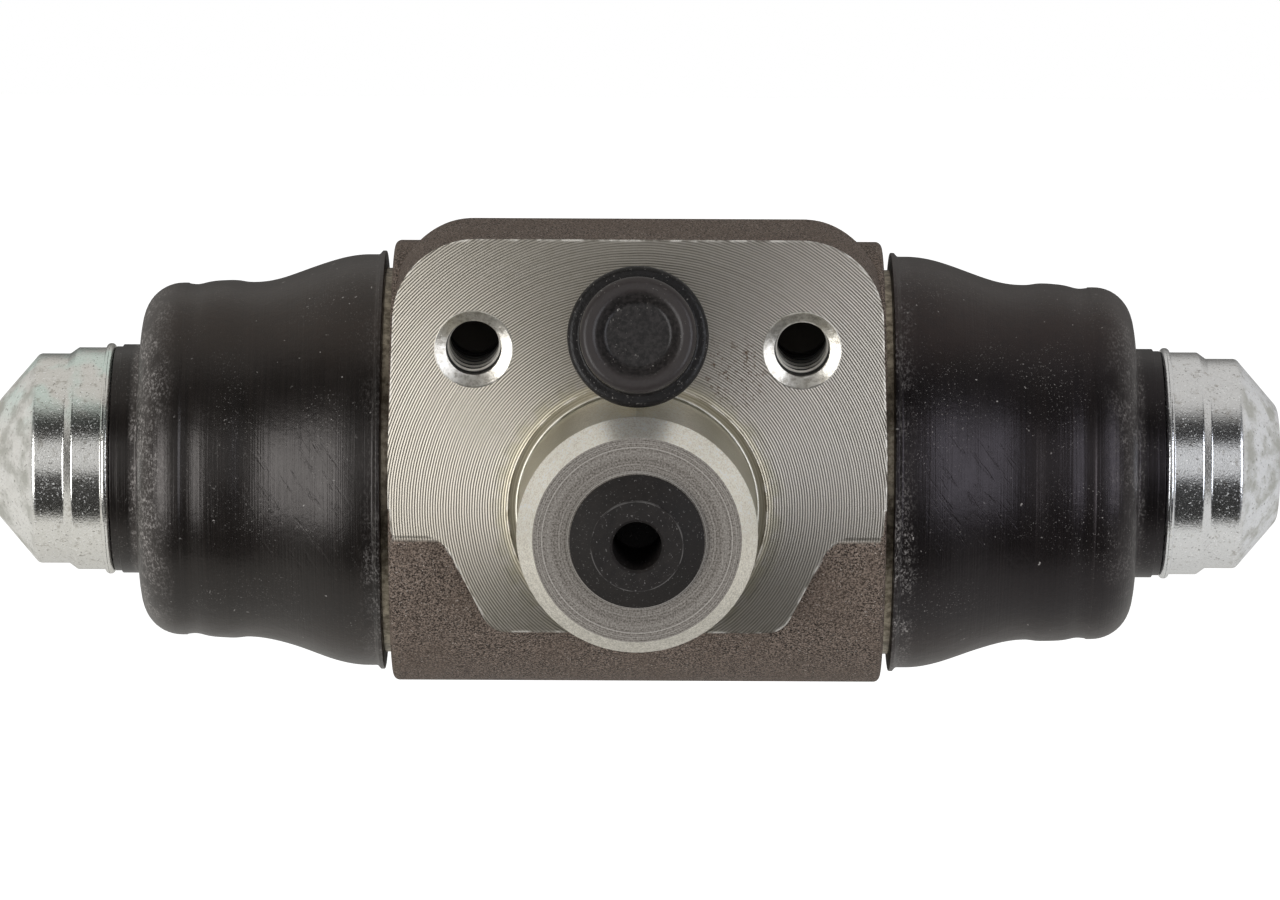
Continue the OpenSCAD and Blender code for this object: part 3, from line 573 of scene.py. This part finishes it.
def surface(name, grid, finish, close_rows=False):
    """Makes an object from a grid of points in millimetres whose columns close on themselves.

    Points that coincide, as at a pole, become one, and the faces are turned outwards.
    """
    rows, columns = grid.shape[:2]
    index = np.arange(rows * columns).reshape(rows, columns)
    below = np.roll(index, -1, 0)
    quads = np.stack([index, below, np.roll(below, -1, 1), np.roll(index, -1, 1)], axis=2)
    quads = quads if close_rows else quads[:-1]
    mesh = bpy.data.meshes.new(name)
    mesh.from_pydata((grid.reshape(-1, 3) * MM).tolist(), [], quads.reshape(-1, 4).tolist())
    shape = bmesh.new()
    shape.from_mesh(mesh)
    bmesh.ops.remove_doubles(shape, verts=shape.verts, dist=1e-7)
    bmesh.ops.recalc_face_normals(shape, faces=shape.faces)
    shape.to_mesh(mesh)
    shape.free()
    mesh.polygons.foreach_set("use_smooth", np.ones(len(mesh.polygons), bool))
    mesh.materials.append(finish.material)
    made = bpy.data.objects.new(name, mesh)
    bpy.context.scene.collection.objects.link(made)
    print(name, len(mesh.polygons), "faces")
    return made


# %% [markdown]
# ## Threads
# The mounting holes are tapped. The solid has their core drilling, and here a helical ridge stands on its wall: a
# low section with a narrow crest carried along a helix, fading out at both ends. It is real geometry, because light
# falls into the hole from the side and picks out every turn. Its colour adds painted shade, darker deeper in the hole
# and at the ridge's root.

# %% Threads in the mounting holes
thread_r, thread_height, thread_turns, thread_root, steps_a_turn = 2.5, 0.25, 6, 0.02, 48
thread_flanks = np.array([-0.25, -0.06, 0.06, 0.25])


def thread_ridge(centre_x):
    """A ridge on a helix: at each step of the turn, the depth and radius of the four corners of its section.

    The depth grows by one pitch each turn. The outer two corners sit just inside the wall, and the two of the crest
    stand inwards by the ridge's height, which fades to nothing over half a turn at each end.
    """
    turn = np.linspace(0, thread_turns, thread_turns * steps_a_turn + 1)
    fade = np.clip(np.minimum(turn, thread_turns - turn) * 2, 0, 1)[:, None]
    depth = thread_start + thread_pitch * (turn[:, None] + thread_flanks * fade)
    radius = thread_r + thread_root - (thread_height + thread_root) * fade * np.array([0, 1, 1, 0])
    angle = 2 * math.pi * turn[:, None]
    return np.stack([centre_x + radius * np.cos(angle), depth, hole_z + radius * np.sin(angle)], axis=2)


tapped = Finish("tapped_iron", Metallic=0.3)
# Painted shade: the thread is painted darker deeper in the hole and at its root, lighter on its crest.
depth_shade = tapped.step(tapped.y, 8.0, 1.5, start=0.04)
from_tap = tapped.radius(tapped.add(tapped.size(tapped.x), -hole_x), tapped.add(tapped.z, -hole_z))
crest_shade = tapped.step(from_tap, thread_r - 0.06, thread_r - thread_height + 0.04, start=0.05, end=1.25)
tapped_colour = tapped.mix(tapped.noise(3.0, detail=3), (0.42, 0.39, 0.34), (0.80, 0.77, 0.70))
tapped.wire(
    Base_Color=tapped.shaded(tapped_colour, tapped.times(depth_shade, crest_shade)),
    Roughness=tapped.add(tapped.times(tapped.noise(4.0), 0.2), 0.25),
)
for side, name in ((-1, "left"), (1, "right")):
    ridge = surface("thread_" + name, thread_ridge(side * hole_x), tapped)
    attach(ridge, "casting")

# %% [markdown]
# ## The boots
# Each boot is moulded rubber: a thin lip at the mouth, a flare down to a waist, soft ribs, a round shoulder and a
# neck that grips the piston. The outer wall is one function of the distance along the bore, and the whole section,
# inside and out, goes round the axis as a closed loop. A little unevenness keeps the sheen from looking machined.

# %% The rubber of the boots


def boot_rubber(name, gloss, sheen, roughness, tone, shoulder_scuffs, lip_scuffs):
    """Black rubber: mould rings, clouds, brown bloom with a painted warm sheen, dust, flakes, scuffed edges, creases.

    The tone scales the rubber's own colour, and the scuffs go from 0 to 1.
    """
    rubber = Finish(name, Specular_IOR_Level=gloss, Specular_Tint=(*sheen, 1))
    along = rubber.size(rubber.x)
    mould_lines = rubber.noise(1.0, detail=3, roughness=0.6, place=rubber.stretched(x=5.0, y=0.04, z=0.04))
    cloud = rubber.noise(0.35, detail=4, roughness=0.6)
    blotch = rubber.noise(1.1, detail=4, roughness=0.7)
    powder = rubber.noise(5.0, detail=3, roughness=0.7, place=rubber.stretched(x=1.0, y=0.6, z=0.6))
    by_shoulder = rubber.both(rubber.step(along, 41.8, 45.6), rubber.step(along, 46.7, 46.1))
    on_shoulder = rubber.times(by_shoulder, shoulder_scuffs)
    on_lip = rubber.both(rubber.step(along, 25.6, 23.8, end=lip_scuffs), rubber.step(rubber.z, 2, -7, start=0.3))
    low_neck = rubber.both(rubber.step(along, 46, 46.4), rubber.step(rubber.z, -2, -7))
    strewn = rubber.step(rubber.noise(0.13, detail=3), 0.42, 0.64, end=0.6)
    dusty = rubber.either(strewn, on_shoulder, low_neck, on_lip)
    fine_dust = rubber.both(rubber.step(rubber.noise(5.8, detail=2, roughness=0.7), 0.63, 0.71), dusty)
    bend = rubber.node("TexNoise", {"Vector": rubber.place, "Scale": 1.5}, 1)
    bent_place = rubber.node("VectorMath", {0: rubber.place, 1: bend})
    in_cluster = rubber.step(rubber.noise(0.2), 0.47, 0.62)
    flakes = rubber.both(rubber.step(rubber.cells(0.9, place=bent_place), 0.11, 0.05), in_cluster)
    scuffed = rubber.both(rubber.either(on_shoulder, on_lip), rubber.step(powder, 0.46, 0.68),
                          rubber.step(cloud, 0.37, 0.6))
    across = rubber.node("VectorMath", {0: rubber.place, 1: (1.7, 0, 1.2)}, "Value", operation="DOT_PRODUCT")
    down = rubber.node("VectorMath", {0: rubber.place, 1: (-0.17, 0, 0.24)}, "Value", operation="DOT_PRODUCT")
    crease_place = rubber.node("CombineXYZ", {"X": across, "Y": down, "Z": rubber.times(rubber.y, 0.2)})
    from_waist = rubber.size(rubber.add(along, -31))
    on_waist = rubber.both(rubber.step(from_waist, 6, 3), rubber.step(rubber.size(rubber.z), 8, 4))
    creases = rubber.both(rubber.step(rubber.noise(1.0, detail=4, place=crease_place), 0.55, 0.7), on_waist)
    rubber_colour = rubber.mix(cloud, (0.0036, 0.0027, 0.0022), (0.0072, 0.0054, 0.0045))
    mould_level = rubber.step(mould_lines, 0.35, 0.7, start=0.8 * tone, end=1.35 * tone)
    rubber_colour = rubber.shaded(rubber_colour, mould_level)
    # A brown tint on the boot's top and bottom: partly bloom, partly a painted warm sheen.
    bloom_and_painted_sheen = rubber.both(rubber.step(rubber.size(rubber.z), 10.5, 15.5), rubber.step(blotch, 0.3, 0.6, start=0.6))
    rubber_colour = rubber.mix(rubber.times(bloom_and_painted_sheen, 0.8), rubber_colour, (0.0140, 0.0080, 0.0050))
    rubber_colour = rubber.mix(rubber.both(on_shoulder, cloud), rubber_colour, (0.070, 0.063, 0.058))
    rubber_colour = rubber.mix(rubber.times(scuffed, 0.85), rubber_colour, (0.36, 0.337, 0.318))
    specks = rubber.either(rubber.times(fine_dust, 0.6), rubber.times(flakes, 0.6))
    rubber_colour = rubber.mix(specks, rubber_colour, (0.36, 0.34, 0.32))
    rubber.raise_by(mould_lines, 0.034)
    rubber.raise_by(blotch, 0.03)
    rubber.raise_by(rubber.unless(creases), 0.02)
    rubber_rough = rubber.add(rubber.times(cloud, 0.14), roughness)
    rubber.wire(
        Base_Color=rubber_colour,
        Roughness=rubber.add(rubber_rough, rubber.times(rubber.either(scuffed, fine_dust), 0.25)),
    )
    return rubber


# %% The boots' section
boot_start, neck_end = boot_low[0], boot_high[0]
lip_rise, flare_len, waist_drop, boot_len = 0.35, 12.6, 2.6, 22.5
mouth_r = lip_r - lip_rise
waist_x, waist_r = boot_start + flare_len, mouth_r - waist_drop
shoulder_x, shoulder_r = boot_start + boot_len, 3.6
neck_r, neck_step, neck_step_w, stem_r, stem_gap, groove_r = 10.6, 0.2, 0.7, 9.05, 0.15, 8.65
grip_near, grip_far = neck_end - 0.34, neck_end - 2.22
spigot_r, bead_r, bead_near, bead_far, edge = 17.85, 16.65, 24.0, 25.5, 0.01
wall, rib_pitch, rib_height, rib_bulge, straight_share = 1.9, 5.0, 0.24, 0.6, 1 / 8
lip_lean, lip_end, lip_foot, mouth_end, outer_steps, inner_steps = 0.1, 0.45, 0.75, 1.15, 90, 40


def boot_out(x):
    """Radius of the boot's outer wall: a straight mouth, half a cosine down to the waist, then soft ribs.

    The ribs are cosine waves whose phase runs ahead by its own sine, which makes broad ribs and narrow grooves.
    """
    flare_start = boot_start + (waist_x - boot_start) * straight_share
    flare = np.clip((x - flare_start) / (waist_x - flare_start), 0, 1)
    ribs = np.clip((x - waist_x) / rib_pitch, 0, None)
    flared = waist_r + waist_drop * (1 + np.cos(math.pi * flare)) / 2
    phase = 2 * math.pi * ribs + rib_bulge * np.sin(2 * math.pi * ribs)
    return flared + rib_height * ((1 - np.cos(phase)) / 2 - ribs)


wall_x = np.linspace(boot_start + 1.2, shoulder_x - shoulder_r - 0.5, outer_steps)
corner_out = boot_out(shoulder_x - shoulder_r)
mouth_line = rounded([(boot_start, spigot_r, 0), (boot_start + lip_lean, lip_r, 0.1),
                      (boot_start + lip_end, lip_r, 0.12), (boot_start + lip_foot, mouth_r, 0.3),
                      (boot_start + mouth_end, mouth_r, 0)])
neck_line = rounded([(shoulder_x - shoulder_r - 0.45, corner_out, 0), (shoulder_x, corner_out, shoulder_r),
                     (shoulder_x, neck_r, 0.35), (neck_end - neck_step_w, neck_r, 0.08),
                     (neck_end - neck_step_w, neck_r - neck_step, 0.05), (neck_end, neck_r - neck_step, 0.12),
                     (neck_end, stem_r, 0.05), (grip_near + edge, stem_r, 0)], steps=14)
inner_x = np.linspace(shoulder_x - wall - shoulder_r, spigot_end + 2.2, inner_steps)
lip_line = np.array([(grip_near, groove_r), (grip_far, groove_r), (grip_far - edge, stem_r + stem_gap),
                     (shoulder_x - wall, stem_r + stem_gap), (shoulder_x - wall, corner_out - shoulder_r)])
bead_line = np.array([(spigot_end + 0.15, spigot_r), (bead_far, spigot_r), (bead_far - edge, bead_r),
                      (bead_near + edge, bead_r), (bead_near, spigot_r)])
boot_section = np.concatenate([mouth_line, np.stack([wall_x, boot_out(wall_x)], axis=1), neck_line, lip_line,
                               np.stack([inner_x, boot_out(inner_x) - wall], axis=1), bead_line])
print("boot section", len(boot_section), "points")

# %% The boots
wave_height = 0.03


def make_boot(side, name, finish):
    """A boot at one end: the section goes round the bore, and slow waves round and along it shift its wall a little."""
    grid = lathe(boot_section, bore_axis, (1, 0, 0))
    x = boot_section[:, :1]
    turn = np.linspace(0, 2 * math.pi, grid.shape[1], endpoint=False)[None]
    wave = np.sin(3 * turn + 0.5 * x + side) + 0.6 * np.sin(5 * turn - 0.9 * x) + 0.5 * np.sin(2 * turn + 0.35 * x)
    free = np.clip((x - spigot_end - 1) / 4, 0, 1) * np.clip((shoulder_x - 1 - x) / 3, 0, 1)
    out = (grid - bore_axis) * (0, 1, 1)
    grid = grid + out / np.linalg.norm(out, axis=2, keepdims=True) * (wave_height * wave * free)[..., None]
    boot = surface("boot_" + name + "_rubber", grid * (side, 1, 1), finish, close_rows=True)
    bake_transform(boot)
    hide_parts("boot_" + name)


left_rubber = boot_rubber("boot_rubber_left", gloss=0.52, sheen=(1.0, 0.94, 0.91), roughness=0.26, tone=1.0,
                          shoulder_scuffs=1.0, lip_scuffs=0.4)
right_rubber = boot_rubber("boot_rubber_right", gloss=0.40, sheen=(1.0, 0.90, 0.98), roughness=0.29, tone=0.65,
                           shoulder_scuffs=0.4, lip_scuffs=1.0)
make_boot(-1, "left", left_rubber)
make_boot(1, "right", right_rubber)

# %% [markdown]
# ## The thrust caps
# The caps are pressed from steel sheet and zinc plated. The plating is a fine mosaic of bright crystals, duller on the
# cone that the shoe has rubbed, and the left cap has a faint green tint on top from its passivating bath. The solid's
# edges are sharp, and a press leaves round ones, so the cap is turned again here with rounded corners and a shorter
# step.

# %% Zinc plate
zinc = Finish("zinc_plate")
cap_reach = zinc.size(zinc.x)
crystals = zinc.noise(6.0, detail=2, roughness=0.7)
mottle = zinc.noise(0.9, detail=5, roughness=0.65)
on_cone = zinc.step(cap_reach, 55.0, 56.0)
frost = zinc.step(zinc.add(zinc.times(crystals, 0.7), zinc.times(mottle, 0.3)), 0.5, 0.62)
dark_specks = zinc.step(zinc.noise(4.0, detail=2, roughness=0.6), 0.62, 0.70)
light_specks = zinc.step(zinc.noise(6.0, detail=2, roughness=0.6), 0.62, 0.7)
stain = zinc.both(zinc.step(zinc.noise(1.1, detail=4, roughness=0.7), 0.56, 0.68),
                  zinc.step(cap_reach, 58.8, 55.5, start=0.3))
tint = zinc.both(zinc.step(zinc.z, 3, 8), zinc.step(zinc.noise(0.3), 0.38, 0.58), zinc.step(zinc.x, 5, -5))
# Painted light: the right cap's zinc is painted bluer, the tint of the cooler lamp on that side.
zinc_with_painted_cool_light = zinc.mix(zinc.step(zinc.x, -5, 5), (0.92, 0.91, 0.87), (0.91, 0.92, 0.94))
zinc_colour = zinc.mix(zinc.times(tint, 0.85), zinc_with_painted_cool_light, (0.84, 1.0, 0.94))
zinc_colour = zinc.shaded(zinc_colour, zinc.add(zinc.times(crystals, 0.36), 0.81))
zinc_colour = zinc.mix(zinc.times(frost, 0.35), zinc_colour, (0.96, 0.96, 0.95))
zinc_colour = zinc.mix(zinc.times(stain, 0.5), zinc_colour, (0.34, 0.31, 0.26))
zinc_colour = zinc.mix(zinc.times(dark_specks, 0.65), zinc_colour, (0.10, 0.085, 0.07))
zinc_colour = zinc.mix(zinc.times(light_specks, 0.6), zinc_colour, (0.80, 0.80, 0.79))
rubbed = zinc.both(on_cone, zinc.step(zinc.noise(0.45, detail=4, roughness=0.6), 0.42, 0.66))
zinc_colour = zinc.mix(zinc.times(rubbed, 0.75), zinc_colour, (0.47, 0.47, 0.42))
zinc.raise_by(crystals, 0.016)
zinc.raise_by(mottle, 0.006)
band_rough = zinc.add(zinc.times(crystals, 0.14), zinc.add(zinc.times(frost, 0.05), 0.11))
zinc.wire(
    Base_Color=zinc_colour,
    Metallic=zinc.blend(zinc.times(light_specks, 0.7), zinc.blend(on_cone, 1.0, 0.75), 0.3),
    Roughness=zinc.blend(on_cone, band_rough, zinc.add(zinc.times(mottle, 0.2), 0.36)),
)

# %% The thrust caps' section
rim_x, tip_x, bead_out = cap_low[0], cap_high[0], (cap_high[2] - cap_low[2]) / 2
sheet, skirt_r, band_r, tip_r = 1.25, bead_out - 0.4, bead_out - 0.98, bead_out - 5.45
step_x, band_x, cone_x = rim_x + 3.1, rim_x + 4.5, tip_x - 3.85
bead_len, bead_round, step_trim, step_round = 0.8, 0.36, 0.3, 0.35
inner_tip_r, cone_shift, step_shift = 4.78, 0.57, 0.29
outer_line = rounded([(rim_x, skirt_r - sheet, 0), (rim_x, bead_out, bead_round),
                      (rim_x + bead_len, bead_out, bead_round), (rim_x + bead_len, skirt_r, 0.02),
                      (step_x + step_trim, skirt_r, step_round), (band_x - step_trim, band_r, step_round),
                      (cone_x, band_r, 0.6), (tip_x, tip_r, 1.3), (tip_x, 0, 0)], steps=10)
inner_line = np.array([(tip_x - sheet, 0), (tip_x - sheet, inner_tip_r), (cone_x - cone_shift, band_r - sheet),
                       (band_x - step_shift, band_r - sheet), (step_x - step_shift, skirt_r - sheet)])
cap_section = np.concatenate([outer_line, inner_line])
for side, name in ((-1, "left"), (1, "right")):
    grid = lathe(cap_section, bore_axis, (1, 0, 0), steps=192) * (side, 1, 1)
    cap = surface("thrust_cap_" + name + "_shell", grid, zinc, close_rows=True)
    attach(cap, name + "_piston")
    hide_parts("thrust_cap_" + name)

# %% [markdown]
# ## The bleed cap and the port plug
# Both are small dark mouldings. The cap is soft rubber: a thick round lip, a body with a round shoulder and a dished
# top, all turned again about the bleed screw's axis, because its solid has sharp edges. The plug is hard plastic with a
# painted highlight round its rim, and its solid is kept.

# %% The bleed screw's axis
joints = {joint["name"]: joint for joint in frame["record"]["behaviour"]["joints"]}
screw_foot = np.array(joints["bleed_screw_turn"]["pos_m"]) / MM
screw_axis = np.array(joints["bleed_screw_turn"]["axis"])
screw_axis = screw_axis / np.linalg.norm(screw_axis)
print("bleed axis", screw_axis, "from", screw_foot)

# %% The bleed cap's rubber
soft = Finish("cap_rubber", Specular_IOR_Level=0.32)
from_foot = soft.node("VectorMath", {0: soft.place, 1: tuple(screw_foot)}, operation="SUBTRACT")
cap_height = soft.node("VectorMath", {0: from_foot, 1: tuple(screw_axis)}, "Value", operation="DOT_PRODUCT")
on_axis = soft.node("VectorMath", {0: tuple(screw_axis), "Scale": cap_height}, operation="SCALE")
off_axis = soft.node("VectorMath", {0: from_foot, 1: on_axis}, operation="SUBTRACT")
cap_out = soft.node("VectorMath", {0: off_axis}, "Value", operation="LENGTH")
soft_cloud = soft.noise(0.9, detail=4)
on_cap_lip = soft.step(cap_height, 8.3, 7.9)
cap_ring_highlight = soft.both(soft.step(cap_height, 12.3, 13.0), soft.step(cap_out, 3.5, 4.0))
soft_strewn = soft.either(soft.step(soft.noise(0.4), 0.45, 0.62), on_cap_lip)
soft_dust = soft.both(soft.step(soft.noise(4.2, detail=2, roughness=0.7), 0.65, 0.72), soft_strewn)
soft_mottle = soft.noise(2.6, detail=4, roughness=0.7)
soft_colour = soft.mix(soft.step(soft_mottle, 0.36, 0.66), (0.007, 0.006, 0.0057), (0.022, 0.019, 0.0184))
# A painted highlight: the ring round the cap's shoulder is painted lighter.
soft_colour = soft.mix(soft.times(cap_ring_highlight, 0.8), soft_colour, (0.029, 0.024, 0.023))
# Painted shade: the cap's lip is painted darker than its body.
soft_colour = soft.mix(soft.times(on_cap_lip, 0.8), soft_colour, (0.006, 0.0052, 0.005))
soft_colour = soft.mix(soft.times(soft_dust, 0.5), soft_colour, (0.36, 0.34, 0.31))
soft.raise_by(soft.noise(5.0, detail=3), 0.012)
soft.raise_by(soft.both(soft.noise(3.5, detail=3, roughness=0.7), on_cap_lip), 0.05)
soft.wire(Base_Color=soft_colour, Roughness=soft.add(soft.times(soft_cloud, 0.2), 0.26))
dress(soft, "cup_seal_left", "cup_seal_right")

# %% The bleed cap
cap_foot, lip_top, cap_top, cap_lip_r, cap_body_r, cap_bore_r, nipple_end = 6.65, 7.95, 13.35, 6.3, 5.15, 2.95, 12.06
dish_r, dish_floor_r, dish_drop = 3.85, 2.9, 0.95
bleed_section = rounded([(cap_foot, cap_bore_r, 0), (cap_foot, cap_lip_r, 0.5), (lip_top, cap_lip_r, 0.55),
                         (lip_top, cap_body_r, 0.25), (cap_top, cap_body_r, 0.7), (cap_top, dish_r, 0.8),
                         (cap_top - dish_drop, dish_floor_r, 0.6), (cap_top - dish_drop, 0, 0)], steps=10)
bleed_section = np.concatenate([bleed_section, [(nipple_end, 0), (nipple_end, cap_bore_r)]])
bleed_grid = lathe(bleed_section, screw_foot, screw_axis, steps=160)
bleed_cap = surface("bleed_cap_rubber", bleed_grid, soft, close_rows=True)
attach(bleed_cap, "bleeder_cap")
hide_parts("bleed_cap")

# %% The plug's plastic
plug_rim_r = 4.08
plastic = Finish("plug_plastic", Specular_IOR_Level=0.25)
plastic_cloud = plastic.noise(1.2, detail=4)
plastic_dust = plastic.step(plastic.noise(5.0, detail=2, roughness=0.7), 0.63, 0.72)
plug_radius = plastic.radius(plastic.x, plastic.z)
rim_gap = plastic.size(plastic.add(plug_radius, -plug_rim_r))
# A painted highlight: a light line round the plug's rim.
rim_highlight = plastic.both(plastic.step(rim_gap, 0.08, 0.03), plastic.step(plastic.noise(0.8), 0.35, 0.6))
plastic_colour = plastic.mix(plastic_cloud, (0.0065, 0.0055, 0.0052), (0.0172, 0.0140, 0.0124))
dust_and_rim_highlight = plastic.either(plastic.times(plastic_dust, 0.4), plastic.times(rim_highlight, 0.24))
plastic_colour = plastic.mix(dust_and_rim_highlight, plastic_colour, (0.25, 0.24, 0.23))
plastic.raise_by(plastic.noise(7.0, detail=3), 0.014)
plastic.wire(Base_Color=plastic_colour, Roughness=plastic.add(plastic.times(plastic_cloud, 0.2), 0.5))
dress(plastic, "port_plug")

# %% [markdown]
# ## The inner pieces
# The pistons are turned light alloy, the bleed screw and the expanders plain steel, and the return spring is hard
# drawn wire. They show only when the cylinder is taken apart, so one function with a few nodes finishes them all.

# %% Turned and drawn metal


def bare_metal(name, dark, light, roughness, lines):
    """Metal with fine lines round the bore's axis, as turning or drawing leaves them."""
    metal = Finish(name, Metallic=1.0)
    marks = metal.noise(1.0, detail=2, place=metal.stretched(x=lines, y=0.1, z=0.1))
    tone = metal.noise(0.8, detail=3)
    metal.raise_by(marks, 0.006)
    metal.wire(Base_Color=metal.mix(metal.times(metal.add(marks, tone), 0.5), dark, light),
               Roughness=metal.add(metal.times(tone, 0.15), roughness))
    return metal


dress(bare_metal("piston_alloy", (0.55, 0.56, 0.57), (0.76, 0.77, 0.78), 0.22, 6), "piston_left", "piston_right")
dress(bare_metal("screw_steel", (0.36, 0.34, 0.28), (0.54, 0.52, 0.45), 0.38, 2), "bleed_screw")
dress(bare_metal("pressed_steel", (0.46, 0.43, 0.33), (0.64, 0.61, 0.50), 0.3, 2),
      "cup_expander_left", "cup_expander_right")

# %% [markdown]
# ## The return spring
# One spring bears on both expanders and shortens with either piston. It is made as two halves, each a round wire
# carried along half of the helix, from the middle to one end.

# %% The return spring
spring_low, spring_high = span("return_spring")
wire_r, spring_turns, dead_turns, wire_points, wire_sides, wire_spacing = 0.65, 6.5, 0.75, 200, 16, 1.02
coil_r = (spring_high[2] - spring_low[2]) / 2 - wire_r
spring_half = spring_high[0]
wire = bare_metal("spring_steel", (0.22, 0.22, 0.23), (0.42, 0.42, 0.42), 0.3, 3)


def half_spring(side, name):
    """Half of the wire: a circle carried along a helix from the middle to one end.

    The wire's place along the bore is a fixed close pitch over the end's dead turns and an even pitch before them.
    The circle lies in the plane of the bore's axis and the outward direction, and shrinks to a point at both ends.
    """
    turn = np.linspace(0, spring_turns / 2, wire_points)
    close = 2 * wire_r * wire_spacing
    live = spring_turns / 2 - dead_turns
    pitch = (spring_half - wire_r - close * dead_turns) / live
    along = np.minimum(turn, live) * pitch + np.clip(turn - live, 0, None) * close
    angle = side * 2 * math.pi * turn
    step = np.arange(wire_points)
    thick = wire_r * np.minimum(1, np.minimum(step, step[::-1]))
    around = np.linspace(0, 2 * math.pi, wire_sides, endpoint=False)
    out = coil_r + thick[:, None] * np.cos(around)
    x = side * along[:, None] + thick[:, None] * np.sin(around)
    grid = np.stack([x, bore_axis[1] + out * np.cos(angle)[:, None], out * np.sin(angle)[:, None]], axis=2)
    coil = surface("spring_" + name, grid, wire)
    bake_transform(coil)
    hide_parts("return_spring")


half_spring(-1, "left")
half_spring(1, "right")
